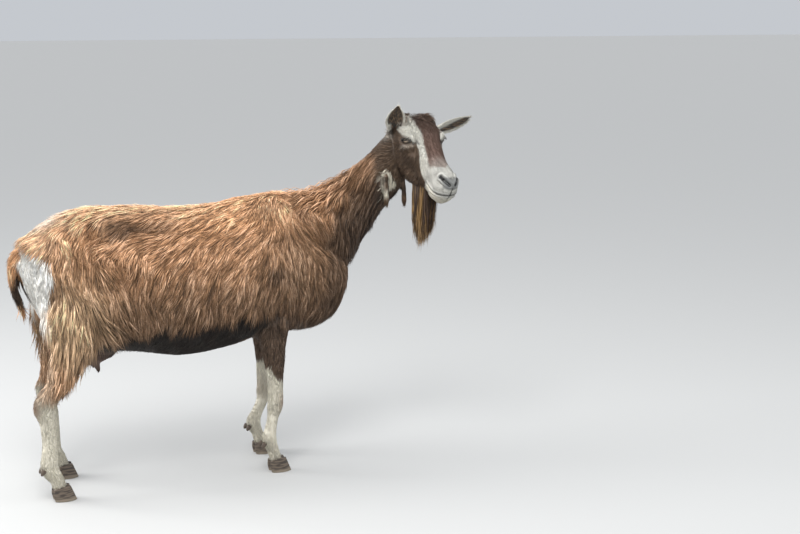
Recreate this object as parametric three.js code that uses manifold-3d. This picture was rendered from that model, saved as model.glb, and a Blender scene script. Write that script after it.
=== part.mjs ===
// A dairy goat standing still with its head turned to its right, life size, as a museum shows one.
// Millimetres. +X points to the goat's front, +Y to its left and +Z up, and the hooves stand on Z = 0.
// The trunk, neck, head and limbs are lofts: oval rings along a smooth path. The long coat is a set of flat
// tapered locks that follow the lie of the hair over a loft, sunk in it at the root and fused with it.

import * as THREE from 'three';
import { mergeVertices } from 'three/addons/utils/BufferGeometryUtils.js';
import Module from 'manifold-3d';

const wasm = await Module();
wasm.setup();

const GAP = 0.3; // between one node and the next
const LOCK_GAP = 0.8; // how far the room left round a neighbour's lock stands over its ridge
const UP = new THREE.Vector3(0, 0, 1);
const LEFT = new THREE.Vector3(0, 1, 0);
const vec = (x, y, z) => new THREE.Vector3(x, y, z);
const mix = THREE.MathUtils.lerp;
const clamp = THREE.MathUtils.clamp;
const radians = THREE.MathUtils.degToRad;

// ---------------------------------------------------------------------------------------------------------
// Solids
// ---------------------------------------------------------------------------------------------------------

// Closes a stack of rings of equal count with a fan at each end, facing outwards.
function ringGeometry(rings) {
  const count = rings[0].length;
  const points = rings.flat();
  const index = [];
  for (let ring = 0; ring + 1 < rings.length; ring += 1) {
    for (let i = 0; i < count; i += 1) {
      const a = ring * count + i;
      const b = ring * count + ((i + 1) % count);
      index.push(a, b, a + count, b, b + count, a + count);
    }
  }
  for (const ring of [0, rings.length - 1]) {
    const centre = rings[ring].reduce((sum, point) => sum.add(point), vec(0, 0, 0)).divideScalar(count);
    points.push(centre);
    for (let i = 0; i < count; i += 1) {
      const a = ring * count + i;
      const b = ring * count + ((i + 1) % count);
      index.push(...(ring === 0 ? [b, a, points.length - 1] : [a, b, points.length - 1]));
    }
  }
  return outward(new THREE.BufferGeometry().setFromPoints(points).setIndex(index));
}

// Turns a closed geometry so that its faces look outwards.
function outward(geometry) {
  const index = geometry.index.array;
  const position = geometry.attributes.position;
  const corner = (i) => new THREE.Vector3().fromBufferAttribute(position, index[i]);
  let volume = 0;
  for (let i = 0; i < index.length; i += 3) {
    volume += corner(i).dot(corner(i + 1).cross(corner(i + 2)));
  }
  if (volume < 0) {
    for (let i = 0; i < index.length; i += 3) {
      [index[i], index[i + 1]] = [index[i + 1], index[i]];
    }
  }
  return geometry;
}

// The manifold solid of a closed geometry, with every corner first moved out along its normal by `grow`.
function solid(geometry, grow = 0) {
  const bare = geometry.clone();
  bare.deleteAttribute('normal');
  bare.deleteAttribute('uv');
  const welded = mergeVertices(bare, 1e-3);
  const position = welded.attributes.position.array.slice();
  if (grow) {
    welded.computeVertexNormals();
    welded.attributes.normal.array.forEach((value, i) => {
      position[i] += value * grow;
    });
  }
  const triVerts = new Uint32Array(welded.index.array);
  const vertProperties = new Float32Array(position);
  return new wasm.Manifold(new wasm.Mesh({ numProp: 3, vertProperties, triVerts }));
}

const union = (solids) => wasm.Manifold.union(solids);

// The largest closed surface of a solid: what a cut leaves loose, and the hollows that fusing seals, go.
function largest(shape) {
  const volume = (part) => Math.abs(part.volume());
  return shape.decompose().reduce((best, part) => (volume(part) > volume(best) ? part : best));
}

// A node before it is cut: its core pieces, each a closed geometry, and its locks, each an exact and a roomy
// one. Its neighbours are cut by its room.
const body = (pieces, locks = []) => ({ pieces, locks });
const fused = ({ pieces, locks }) =>
  union([...pieces, ...locks.map((lock) => lock.exact)].map((piece) => solid(piece)));
const room = ({ pieces, locks }) =>
  union([...pieces.map((piece) => solid(piece, GAP)), ...locks.map((lock) => solid(lock.roomy))]);

const goat = new THREE.Group();

function addNode(name, shape, material) {
  const mesh = largest(shape).getMesh();
  const geometry = new THREE.BufferGeometry();
  geometry.setAttribute('position', new THREE.BufferAttribute(mesh.vertProperties, 3));
  geometry.setIndex(new THREE.BufferAttribute(mesh.triVerts, 1));
  geometry.computeVertexNormals();
  const node = new THREE.Mesh(geometry, material);
  node.name = name;
  goat.add(node);
}

const matter = (color, roughness = 0.9) => new THREE.MeshStandardMaterial({ color, roughness, metalness: 0 });

// ---------------------------------------------------------------------------------------------------------
// Lofts
// ---------------------------------------------------------------------------------------------------------

// Uniform Catmull-Rom value of a list of numbers at 0..1.
function spline(values, at) {
  const last = values.length - 1;
  const place = clamp(at, 0, 1) * last;
  const i = Math.min(Math.floor(place), last - 1);
  const t = place - i;
  const [a, b, c, d] = [i - 1, i, i + 1, i + 2].map((k) => values[clamp(k, 0, last)]);
  return b + 0.5 * t * (c - a + t * (2 * a - 5 * b + 4 * c - d + t * (3 * (b - c) + d - a)));
}

// A loft through stations { at: [x, y, z], height, width, narrow, square }. height and width are half sizes
// across the path, narrow thins the section toward its upper side, and square (under 1) fills its corners.
// An upright loft keeps its rings in vertical planes; in others they are square to the path.
class Loft {
  constructor(stations, { side = LEFT, upright = false } = {}) {
    this.side = side;
    this.upright = upright;
    const column = (read) => stations.map(read);
    this.path = [0, 1, 2].map((axis) => column((station) => station.at[axis]));
    this.height = column((station) => station.height);
    this.width = column((station) => station.width);
    this.narrow = column((station) => station.narrow ?? 0);
    this.square = column((station) => station.square ?? 1);
  }

  centre(s) {
    return vec(...this.path.map((values) => spline(values, s)));
  }

  // Angle 0 is the loft's side, 90 degrees its upper side.
  point(s, angle) {
    const step = 0.01;
    const along = this.centre(Math.min(s + step, 1)).sub(this.centre(Math.max(s - step, 0))).normalize();
    const across = this.side.clone().addScaledVector(along, -this.side.dot(along)).normalize();
    const upper = this.upright ? UP : along.clone().cross(across);
    const power = spline(this.square, s);
    const rounded = (value) => Math.sign(value) * Math.abs(value) ** power;
    const [u, v] = [rounded(Math.cos(angle)), rounded(Math.sin(angle))];
    const width = spline(this.width, s) * (1 - spline(this.narrow, s) * v);
    const height = spline(this.height, s);
    return this.centre(s).addScaledVector(across, width * u).addScaledVector(upper, height * v);
  }

  // Derivatives by s and by angle, and the outward normal.
  tangents(s, angle) {
    const step = 0.004;
    const low = clamp(s - step, 0, 1);
    const high = clamp(s + step, 0, 1);
    const byS = this.point(high, angle).sub(this.point(low, angle)).divideScalar(high - low);
    const byAngle = this.point(s, angle + step).sub(this.point(s, angle - step)).divideScalar(2 * step);
    return { byS, byAngle, normal: byAngle.clone().cross(byS).normalize() };
  }

  geometry(rings, around, from = 0, to = 1) {
    const list = [];
    for (let ring = 0; ring <= rings; ring += 1) {
      const s = mix(from, to, ring / rings);
      list.push(Array.from({ length: around }, (_, i) => this.point(s, (i / around) * Math.PI * 2)));
    }
    return ringGeometry(list);
  }
}

// ---------------------------------------------------------------------------------------------------------
// Locks
// ---------------------------------------------------------------------------------------------------------

// Seeded random numbers, so that the coat is the same each time.
function randomSource(seed) {
  let state = seed;
  return (low = 0, high = 1) => {
    state = (state * 1664525 + 1013904223) % 4294967296;
    return low + ((high - low) * state) / 4294967296;
  };
}

const LOCK_STATIONS = [0, 0.3, 0.65];
const LOCK_WIDTHS = [0.7, 1, 0.75];
const LOCK_SINK = 9;

// A flat lock with a low ridge, through centre points with their normals, closed by a point at the tip.
// gap widens it all round, most at its sharp edges.
function lockGeometry(centres, normals, tip, width, thickness, gap) {
  const points = [];
  centres.forEach((centre, i) => {
    const ahead = (centres[i + 1] ?? tip).clone().sub(centre).normalize();
    const across = ahead.clone().cross(normals[i]).normalize();
    const half = (width / 2) * LOCK_WIDTHS[i] + 6 * gap;
    const ridge = thickness * LOCK_WIDTHS[i] + 1.5 * gap;
    const back = i === 0 ? -2 * gap : 0;
    const base = centre.clone().addScaledVector(normals[i], -0.7 * gap).addScaledVector(ahead, back);
    points.push(
      base.clone().addScaledVector(across, -half),
      base.clone().addScaledVector(across, half),
      centre.clone().addScaledVector(normals[i], ridge).addScaledVector(ahead, back),
    );
  });
  points.push(tip.clone().add(tip.clone().sub(centres.at(-1)).setLength(3 * gap)));
  const index = [0, 2, 1];
  for (let ring = 0; ring < centres.length; ring += 1) {
    for (let i = 0; i < 3; i += 1) {
      const a = ring * 3 + i;
      const b = ring * 3 + ((i + 1) % 3);
      if (ring + 1 < centres.length) {
        index.push(a, b, a + 3, b, b + 3, a + 3);
      } else {
        index.push(a, b, points.length - 1);
      }
    }
  }
  return outward(new THREE.BufferGeometry().setFromPoints(points).setIndex(index));
}

const lockPair = (...shape) => ({
  exact: lockGeometry(...shape, 0),
  roomy: lockGeometry(...shape, LOCK_GAP),
});

// A lock that starts at (s, angle) of a loft and follows `lie`, a direction in space by place and normal.
// It keeps to the surface, and hangs straight down once the normal's Z is under hangsBelow.
function surfaceLock(loft, start, lie, { length, width, thickness, lift, hangsBelow = -0.6 }) {
  const STEPS = 8;
  let { s, angle } = start;
  let { byS, byAngle, normal } = loft.tangents(s, angle);
  const place = loft.point(s, angle);
  const trail = [{ place: place.clone(), normal }];
  for (let step = 0; step < STEPS; step += 1) {
    const stride = length / STEPS;
    const way = lie(place, normal).projectOnPlane(normal).normalize();
    if (normal.z < hangsBelow) {
      place.addScaledVector(UP, -stride);
    } else {
      const [ee, ef, ff] = [byS.dot(byS), byS.dot(byAngle), byAngle.dot(byAngle)];
      const [we, wf] = [way.dot(byS), way.dot(byAngle)];
      const scale = stride / (ee * ff - ef * ef);
      s = clamp(s + scale * (we * ff - wf * ef), 0.005, 0.995);
      angle += scale * (wf * ee - we * ef);
      place.copy(loft.point(s, angle));
      ({ byS, byAngle, normal } = loft.tangents(s, angle));
    }
    trail.push({ place: place.clone(), normal });
  }
  const at = (t) => trail[Math.round(t * STEPS)];
  const rise = (t) => mix(-LOCK_SINK, lift, Math.sqrt(t));
  const lifted = (t) => at(t).place.clone().addScaledVector(at(t).normal, rise(t));
  const centres = LOCK_STATIONS.map(lifted);
  const normals = LOCK_STATIONS.map((t) => at(t).normal);
  return lockPair(centres, normals, lifted(1), width, thickness);
}

// Rows of locks over part of a loft. rows is a list of { angle, count, from, to } in degrees and loft share.
function coat(loft, rows, lie, size, seed) {
  const random = randomSource(seed);
  const locks = [];
  rows.forEach(({ angle, count, from, to, scale = 1 }, row) => {
    for (let i = 0; i < count; i += 1) {
      const share = (i + 0.5 + (row % 2 ? 0.25 : -0.25) + random(-0.15, 0.15)) / count;
      const start = { s: mix(from, to, clamp(share, 0, 1)), angle: radians(angle + random(-5, 5)) };
      const vary = random(0.85, 1.15) * scale;
      locks.push(surfaceLock(loft, start, lie, {
        length: size.length * vary,
        width: size.width * random(0.9, 1.1),
        thickness: size.thickness,
        lift: size.lift * random(0.75, 1.15),
        hangsBelow: size.hangsBelow,
      }));
    }
  });
  return locks;
}

// ---------------------------------------------------------------------------------------------------------
// Torso
// ---------------------------------------------------------------------------------------------------------

// Half way into the coat, from the pin bones to the breast: X, top and bottom of the section, half width.
const TORSO_SECTIONS = [
  { x: -438, top: 656, bottom: 596, width: 36 },
  { x: -414, top: 694, bottom: 530, width: 84, narrow: 0.1 },
  { x: -350, top: 736, bottom: 430, width: 112, narrow: 0.14 },
  { x: -250, top: 764, bottom: 382, width: 132, narrow: 0.2 },
  { x: -130, top: 763, bottom: 363, width: 150, narrow: 0.22 },
  { x: -10, top: 755, bottom: 343, width: 158, narrow: 0.24 },
  { x: 110, top: 760, bottom: 353, width: 152, narrow: 0.26 },
  { x: 220, top: 778, bottom: 378, width: 138, narrow: 0.28 },
  { x: 310, top: 778, bottom: 384, width: 124, narrow: 0.26 },
  { x: 390, top: 735, bottom: 392, width: 110, narrow: 0.1 },
  { x: 449, top: 680, bottom: 431, width: 82 },
  { x: 484, top: 616, bottom: 504, width: 36 },
];

const torsoLoft = new Loft(TORSO_SECTIONS.map(({ x, top, bottom, width, narrow }) => ({
  at: [x, 0, (top + bottom) / 2],
  height: (top - bottom) / 2,
  width,
  narrow,
  square: 0.92,
})), { upright: true });

// The hair runs back along the spine, down and back on the ribs, and down and forward in front of the hip.
function torsoLie(place, normal) {
  const spine = clamp(normal.z, 0, 1) ** 2;
  const forward = place.x > 330 ? 0.1 : -0.35;
  const hip = place.x < -230 ? 0.45 : forward;
  return vec(mix(hip, -1.6, spine), 0, mix(-1, -0.2, spine));
}

const TORSO_LOCK = { length: 126, width: 80, thickness: 8, lift: 14, hangsBelow: -0.3 };
const TORSO_ROWS = [
  { angle: 90, count: 9, from: 0.15, to: 0.88 },
  { angle: 60, count: 10, from: 0.14, to: 0.88 },
  { angle: 120, count: 10, from: 0.14, to: 0.88 },
  { angle: 32, count: 9, from: 0.16, to: 0.93 },
  { angle: 148, count: 9, from: 0.16, to: 0.93 },
  { angle: 6, count: 9, from: 0.22, to: 0.95 },
  { angle: 174, count: 9, from: 0.22, to: 0.95 },
  { angle: -20, count: 8, from: 0.28, to: 0.85, scale: 0.82 },
  { angle: 200, count: 8, from: 0.28, to: 0.85, scale: 0.82 },
  { angle: 243, count: 3, from: 0.78, to: 0.92, scale: 0.33 },
  { angle: 297, count: 3, from: 0.78, to: 0.92, scale: 0.33 },
];

const torso = body([torsoLoft.geometry(22, 18)], coat(torsoLoft, TORSO_ROWS, torsoLie, TORSO_LOCK, 15));

// ---------------------------------------------------------------------------------------------------------
// Neck
// ---------------------------------------------------------------------------------------------------------

const neckLoft = new Loft([
  { at: [330, 0, 630], height: 126, width: 98 },
  { at: [418, 0, 664], height: 115, width: 92 },
  { at: [484, -8, 713], height: 91, width: 75 },
  { at: [541, -30, 772], height: 73, width: 62 },
  { at: [588, -52, 826], height: 65, width: 56 },
  { at: [626, -66, 877], height: 60, width: 53 },
  { at: [652, -80, 925], height: 48, width: 48 },
]);

// The hair runs down the neck to the shoulder and falls to the throat.
function neckLie(place, normal) {
  const nape = clamp(normal.z, 0, 1);
  const throat = clamp(-normal.z, 0, 1);
  return vec(mix(-0.35, -1, nape) - 0.5 * throat, 0.15, -1);
}

const NECK_LOCK = { length: 92, width: 56, thickness: 7, lift: 10, hangsBelow: -0.85 };
const NECK_ROWS = [
  { angle: 90, count: 4, from: 0.4, to: 0.92 },
  { angle: 38, count: 4, from: 0.36, to: 0.92 },
  { angle: 142, count: 4, from: 0.36, to: 0.92 },
  { angle: -14, count: 4, from: 0.36, to: 0.88 },
  { angle: 194, count: 4, from: 0.36, to: 0.86 },
  { angle: 270, count: 4, from: 0.36, to: 0.8 },
];

const neck = body([neckLoft.geometry(12, 14)], coat(neckLoft, NECK_ROWS, neckLie, NECK_LOCK, 23));

// ---------------------------------------------------------------------------------------------------------
// Head, in a frame of its own: X from the poll to the nose, Y to the goat's left, Z up from the forehead
// ---------------------------------------------------------------------------------------------------------

const POLL = vec(660, -115, 983);
const HEAD_TURN = radians(-84);
const HEAD_DOWN = radians(36);
const headFrame = new THREE.Matrix4()
  .makeTranslation(POLL.x, POLL.y, POLL.z)
  .multiply(new THREE.Matrix4().makeRotationZ(HEAD_TURN))
  .multiply(new THREE.Matrix4().makeRotationY(HEAD_DOWN));
const onHead = (geometry) => geometry.applyMatrix4(headFrame);
const headPlace = (x, y, z) => vec(x, y, z).applyMatrix4(headFrame);

const HEAD_SECTIONS = [
  { x: -20, top: -28, bottom: -100, width: 36 },
  { x: -6, top: 0, bottom: -128, width: 54, narrow: -0.25 },
  { x: 22, top: 10, bottom: -147, width: 58, narrow: -0.3 },
  { x: 50, top: 10, bottom: -157, width: 58, narrow: -0.28 },
  { x: 78, top: 5, bottom: -157, width: 57, narrow: -0.26 },
  { x: 104, top: 1, bottom: -150, width: 50, narrow: -0.24 },
  { x: 132, top: -2, bottom: -139, width: 41, narrow: -0.16 },
  { x: 160, top: -5, bottom: -126, width: 35, narrow: -0.06 },
  { x: 186, top: -6, bottom: -113, width: 33, narrow: 0.02 },
  { x: 208, top: -6, bottom: -107, width: 34, narrow: 0.04 },
  { x: 232, top: -7, bottom: -103, width: 33, narrow: 0.04 },
  { x: 250, top: -13, bottom: -94, width: 28, narrow: 0.02 },
  { x: 262, top: -23, bottom: -78, width: 20 },
  { x: 268, top: -34, bottom: -62, width: 10 },
];

const headLoft = new Loft(HEAD_SECTIONS.map(({ x, top, bottom, width, narrow }) => ({
  at: [x, 0, (top + bottom) / 2],
  height: (top - bottom) / 2,
  width,
  narrow,
  square: 0.84,
})));

// Swellings and hollows of the skull: centre, reach, and how far the skin moves out. Each is on both sides.
const HEAD_SWELLINGS = [
  { at: [66, 54, -2], reach: 18, out: 9 }, // brow
  { at: [104, 48, -38], reach: 18, out: -5 }, // tear hollow
  { at: [46, 52, -105], reach: 34, out: 6 }, // cheek
  { at: [8, 36, 2], reach: 19, out: 9 }, // knobs where horns would be
  { at: [238, 26, -22], reach: 11, out: 4 }, // nostril wing
  { at: [222, 28, -92], reach: 13, out: 3 }, // lower lip
  { at: [240, 0, -100], reach: 16, out: 4 }, // chin
];

function headSkin(geometry) {
  const position = geometry.attributes.position;
  geometry.computeVertexNormals();
  for (let i = 0; i < position.count; i += 1) {
    const place = new THREE.Vector3().fromBufferAttribute(position, i);
    const normal = new THREE.Vector3().fromBufferAttribute(geometry.attributes.normal, i);
    const push = HEAD_SWELLINGS.reduce((sum, { at, reach, out }) => {
      const distance = place.distanceTo(vec(at[0], Math.sign(place.y) * at[1], at[2]));
      return sum + out * Math.exp(-((distance / reach) ** 2));
    }, 0);
    place.addScaledVector(normal, push);
    position.setXYZ(i, place.x, place.y, place.z);
  }
  return geometry;
}

// Eyes: balls in the head, each under a lid ball that an almond slot opens.
const EYE = { x: 71, y: 51, z: -19, radius: 13.5 };
const LID_THICKNESS = 2.4;
const LID_SLOT = { length: 28, height: 10, tilt: radians(32), forward: radians(25), start: 4, depth: 30 };

function ball(radius, x, y, z, around = 12, rings = 9) {
  return new THREE.SphereGeometry(radius, around, rings).translate(x, y, z);
}

const eyeBall = (side) => ball(EYE.radius, EYE.x, side * EYE.y, EYE.z);
const lidBall = (side) => ball(EYE.radius + LID_THICKNESS, EYE.x, side * EYE.y, EYE.z, 11, 8);

function lidSlot(side) {
  const outline = new THREE.Shape();
  outline.moveTo(-LID_SLOT.length / 2, 0);
  outline.quadraticCurveTo(0, LID_SLOT.height, LID_SLOT.length / 2, 0);
  outline.quadraticCurveTo(0, -LID_SLOT.height, -LID_SLOT.length / 2, 0);
  const depth = LID_SLOT.depth;
  const slot = new THREE.ExtrudeGeometry(outline, { depth, bevelEnabled: false, curveSegments: 4 });
  slot.rotateZ(LID_SLOT.tilt).rotateX(Math.PI / 2);
  slot.translate(0, side > 0 ? LID_SLOT.start + depth : -LID_SLOT.start, 0);
  return slot.rotateZ(-side * LID_SLOT.forward).translate(EYE.x, side * EYE.y, EYE.z);
}

// The mouth line runs round the muzzle from corner to corner, at this height for each length along the head.
const MOUTH = { corner: 192, front: 266, cornerHeight: -74, frontHeight: -57, radius: 1.8 };

function muzzleAngle(s, height, side) {
  let [low, high] = [-Math.PI / 2, Math.PI / 2];
  for (let i = 0; i < 24; i += 1) {
    const angle = (low + high) / 2;
    if (headLoft.point(s, angle).z < height) {
      low = angle;
    } else {
      high = angle;
    }
  }
  return side > 0 ? low : Math.PI - low;
}

function mouthCurve() {
  const firstS = loftShare(headLoft, MOUTH.corner);
  const lastS = 0.985;
  const half = (side) => [0, 0.2, 0.45, 0.7, 0.9, 1].map((t) => {
    const s = mix(firstS, lastS, t);
    const height = mix(MOUTH.cornerHeight, MOUTH.frontHeight, t ** 0.8);
    return headLoft.point(s, muzzleAngle(s, height, side));
  });
  return new THREE.CatmullRomCurve3([...half(1), ...half(-1).reverse()]);
}

// The share of a loft's path at a given X.
function loftShare(loft, x) {
  let [low, high] = [0, 1];
  for (let i = 0; i < 24; i += 1) {
    const s = (low + high) / 2;
    if (loft.centre(s).x < x) {
      low = s;
    } else {
      high = s;
    }
  }
  return low;
}

function circle(radius, corners) {
  const outline = new THREE.Shape();
  for (let i = 0; i < corners; i += 1) {
    const angle = (i / corners) * Math.PI * 2;
    outline[i ? 'lineTo' : 'moveTo'](radius * Math.cos(angle), radius * Math.sin(angle));
  }
  return outline;
}

const mouthGroove = () =>
  new THREE.ExtrudeGeometry(circle(MOUTH.radius, 3), { steps: 11, extrudePath: mouthCurve() });

// Nostrils: long pits that run forward and inward over the front of the muzzle.
const NOSTRIL = { x: 246, y: 19.5, z: -24, length: 17, height: 3.6, depth: 4.5, inward: radians(24) };

function nostril(side) {
  const pit = new THREE.SphereGeometry(1, 8, 5).scale(NOSTRIL.length, NOSTRIL.depth, NOSTRIL.height);
  return pit.rotateZ(-side * NOSTRIL.inward).translate(NOSTRIL.x, side * NOSTRIL.y, NOSTRIL.z);
}

// A tuft between the ears: short locks that fall forward over the forehead and to the sides.
const FORELOCK = { length: 46, width: 20, thickness: 5, lift: 9 };
const forelockLie = (place) => vec(1, place.y * 0.02, 0);
const FORELOCK_ROWS = [
  { angle: 90, count: 2, from: 0.1, to: 0.3 },
  { angle: 66, count: 2, from: 0.08, to: 0.26 },
  { angle: 114, count: 2, from: 0.08, to: 0.26 },
];

const headPieces = [
  onHead(headSkin(headLoft.geometry(26, 20))),
  ...[1, -1].map((side) => onHead(lidBall(side))),
];
const headLocks = coat(headLoft, FORELOCK_ROWS, forelockLie, FORELOCK, 37);
headLocks.forEach((lock) => Object.values(lock).forEach(onHead));
const head = body(headPieces, headLocks);

// ---------------------------------------------------------------------------------------------------------
// Ears
// ---------------------------------------------------------------------------------------------------------

const EAR = { width: 54, thickness: 3.6, cup: 15, root: 24 };

// A cupped leaf: length along +X, width along Y, open toward +Z. Both faces have the same grid.
function earGeometry(length) {
  const LENGTHS = 8;
  const WIDTHS = 6;
  const face = (t, across, inner) => {
    const blade = Math.max(Math.sin(Math.PI * (0.12 + 0.88 * t) ** 1.1), 0) ** 0.6;
    const half = Math.max(mix(EAR.root / 2, EAR.width / 2, Math.min(1, t * 2.2)) * blade, 0.8);
    const cup = EAR.cup * (1 - 0.55 * t) * (across ** 2) * Math.min(1, half / 12);
    const thickness = mix(EAR.thickness, 1.4, t) * (1 - 0.6 * across ** 2);
    return vec(t * length, across * half, cup + (inner ? thickness / 2 : -thickness / 2));
  };
  const rings = [];
  for (let i = 0; i <= LENGTHS; i += 1) {
    const t = i / LENGTHS;
    const ring = [];
    for (let j = 0; j <= WIDTHS; j += 1) {
      ring.push(face(t, (2 * j) / WIDTHS - 1, true));
    }
    for (let j = WIDTHS; j >= 0; j -= 1) {
      ring.push(face(t, (2 * j) / WIDTHS - 1, false));
    }
    rings.push(ring);
  }
  return ringGeometry(rings);
}

// Root and tip in space, and the way that the cup opens.
function placedEar(root, tip, opening) {
  const along = tip.clone().sub(root).normalize();
  const open = opening.clone().projectOnPlane(along).normalize();
  const frame = new THREE.Matrix4().makeBasis(along, open.clone().cross(along), open);
  return earGeometry(tip.distanceTo(root)).applyMatrix4(frame).translate(root.x, root.y, root.z);
}

const EAR_ROOT = { x: -2, y: 56, z: -53 };
const earRoot = (side) => headPlace(EAR_ROOT.x, side * EAR_ROOT.y, EAR_ROOT.z);
const ears = {
  R: placedEar(earRoot(-1), vec(584, -165, 1020), vec(-0.35, -0.9, -0.3)),
  L: placedEar(earRoot(1), vec(843, -92, 979), vec(0.1, -0.75, -0.65)),
};

// ---------------------------------------------------------------------------------------------------------
// Beard and wattles
// ---------------------------------------------------------------------------------------------------------

// A free lock through a root and a tip, bent toward `bow` in the middle.
function hangingLock(root, tip, facing, width, thickness, bow = vec(0, 0, 0)) {
  const at = (t) => root.clone().lerp(tip, t).addScaledVector(bow, 4 * t * (1 - t));
  return lockPair(LOCK_STATIONS.map(at), LOCK_STATIONS.map(() => facing), tip, width, thickness);
}

const BEARD = { back: 120, front: 204, wide: 25, tipX: 636, tipY: -186, tipZ: 604 };
const JAW = { backHeight: -138, frontHeight: -104 }; // under the beard's back and front
const BEARD_LOCK = { width: 36, thickness: 8, rows: 3, across: 3 };

// A place over the jaw's lower edge, at a share from the beard's back to its front.
function jawPlace(t, side, over) {
  return headPlace(mix(BEARD.back, BEARD.front, t), side, mix(JAW.backHeight, JAW.frontHeight, t) + over);
}

// Locks from the whole width of the chin that hang nearly straight and draw together to one ragged end.
function beardLocks() {
  const random = randomSource(5);
  const { rows, across, width, thickness } = BEARD_LOCK;
  return Array.from({ length: rows * across }, (_, i) => {
    const t = (Math.floor(i / across) + 0.5) / rows;
    const side = (i % across) - (across - 1) / 2;
    const root = jawPlace(t, side * BEARD.wide, 14);
    const end = vec(BEARD.tipX + side * 13, BEARD.tipY - (t - 0.5) * 22, BEARD.tipZ + random(0, 42));
    const out = vec(root.x - BEARD.tipX, root.y - BEARD.tipY, 0).normalize();
    return hangingLock(root, end, out, width, thickness, out.clone().multiplyScalar(7));
  });
}

const beardTop = jawPlace(0.5, 0, 0);
const beardCore = new Loft([
  { at: [beardTop.x, beardTop.y, beardTop.z + 20], height: 26, width: 34 },
  { at: [beardTop.x, beardTop.y, beardTop.z - 18], height: 27, width: 30 },
  { at: [646, beardTop.y, beardTop.z - 60], height: 20, width: 22 },
  { at: [640, -184, beardTop.z - 95], height: 11, width: 12 },
  { at: [638, -184, beardTop.z - 112], height: 3, width: 3 },
], { side: vec(1, 0, 0) });
const beard = body([beardCore.geometry(5, 8)], beardLocks());

const WATTLE = { width: 8, tuft: 9.5 };

function wattle(x, y, top, bottom) {
  const at = (t) => [x + 3 * t, y, mix(top, bottom, t)];
  const loft = new Loft([
    { at: at(0), height: WATTLE.width, width: WATTLE.width },
    { at: at(0.25), height: WATTLE.width * 0.8, width: WATTLE.width * 0.8 },
    { at: at(0.6), height: WATTLE.width, width: WATTLE.width },
    { at: at(0.85), height: WATTLE.tuft, width: WATTLE.tuft * 0.8 },
    { at: at(1), height: 2, width: 2 },
  ]);
  return body([loft.geometry(7, 8)]);
}

const wattles = { R: wattle(573, -106, 822, 731), L: wattle(636, -86, 838, 727) };

// ---------------------------------------------------------------------------------------------------------
// Tail and udder
// ---------------------------------------------------------------------------------------------------------

const tailLoft = new Loft([
  { at: [-396, 0, 664], height: 15, width: 20 },
  { at: [-428, 0, 658], height: 14, width: 22 },
  { at: [-447, 0, 622], height: 12, width: 24 },
  { at: [-447, 0, 572], height: 11, width: 22 },
  { at: [-437, 0, 526], height: 8, width: 14 },
  { at: [-430, 0, 500], height: 3, width: 5 },
]);
const TAIL_ROWS = [
  { angle: 270, count: 1, from: 0.45, to: 0.55 },
  { angle: 330, count: 2, from: 0.3, to: 0.7 },
  { angle: 210, count: 2, from: 0.3, to: 0.7 },
];
const TAIL_LOCK = { length: 66, width: 24, thickness: 4, lift: 5 };
const tail = body([tailLoft.geometry(7, 8)], coat(tailLoft, TAIL_ROWS, () => vec(0.3, 0, -1), TAIL_LOCK, 3));

const UDDER = { x: -262, z: 392, long: 72, wide: 52, deep: 62 };

function udderPieces() {
  const bag = ball(1, 0, 0, 0, 12, 8).scale(UDDER.long, UDDER.wide, UDDER.deep);
  bag.translate(UDDER.x, 0, UDDER.z);
  const teats = [1, -1].map((side) => new Loft([
    { at: [UDDER.x + 16, side * 24, UDDER.z - 38], height: 12, width: 12 },
    { at: [UDDER.x + 20, side * 26, UDDER.z - 56], height: 9, width: 9 },
    { at: [UDDER.x + 25, side * 28, UDDER.z - 70], height: 6, width: 6 },
    { at: [UDDER.x + 26, side * 28, UDDER.z - 75], height: 2, width: 2 },
  ]).geometry(3, 6));
  return [bag, ...teats];
}

const udder = body(udderPieces());

// ---------------------------------------------------------------------------------------------------------
// Legs: each an upper part in the coat, a lower part from the knee or hock down, and two claws
// ---------------------------------------------------------------------------------------------------------

const CORONET = 40; // top of the claws

// side is +1 on the left. The rest are the X of the elbow's middle, of the knee or hock and of the foot.
function foreleg(side, elbow, knee, foot) {
  const y = side * 92;
  const upper = new Loft([
    { at: [elbow, side * 84, 520], height: 62, width: 44 },
    { at: [elbow + 6, side * 91, 440], height: 58, width: 40 },
    { at: [mix(elbow, knee, 0.5) + 4, side * 93, 362], height: 40, width: 31 },
    { at: [mix(elbow, knee, 0.8) + 4, y, 300], height: 29, width: 24 },
    { at: [knee + 2, y, 246], height: 25, width: 20 },
    { at: [knee + 2, y, 212], height: 24, width: 20 },
  ]);
  const lower = new Loft([
    { at: [knee + 2, y, 212 - GAP], height: 24, width: 20 },
    { at: [knee, y, 186], height: 24, width: 20 },
    { at: [knee - 6, y, 158], height: 19, width: 16 },
    { at: [mix(knee, foot, 0.6) - 14, y, 124], height: 19, width: 15 },
    { at: [foot - 20, y, 96], height: 23, width: 18 },
    { at: [foot - 10, y, 64], height: 17, width: 17 },
    { at: [foot, y, CORONET - 8], height: 21, width: 21 },
  ]);
  return { upper, lower, y, foot, dewclaw: [foot - 38, 84] };
}

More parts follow.
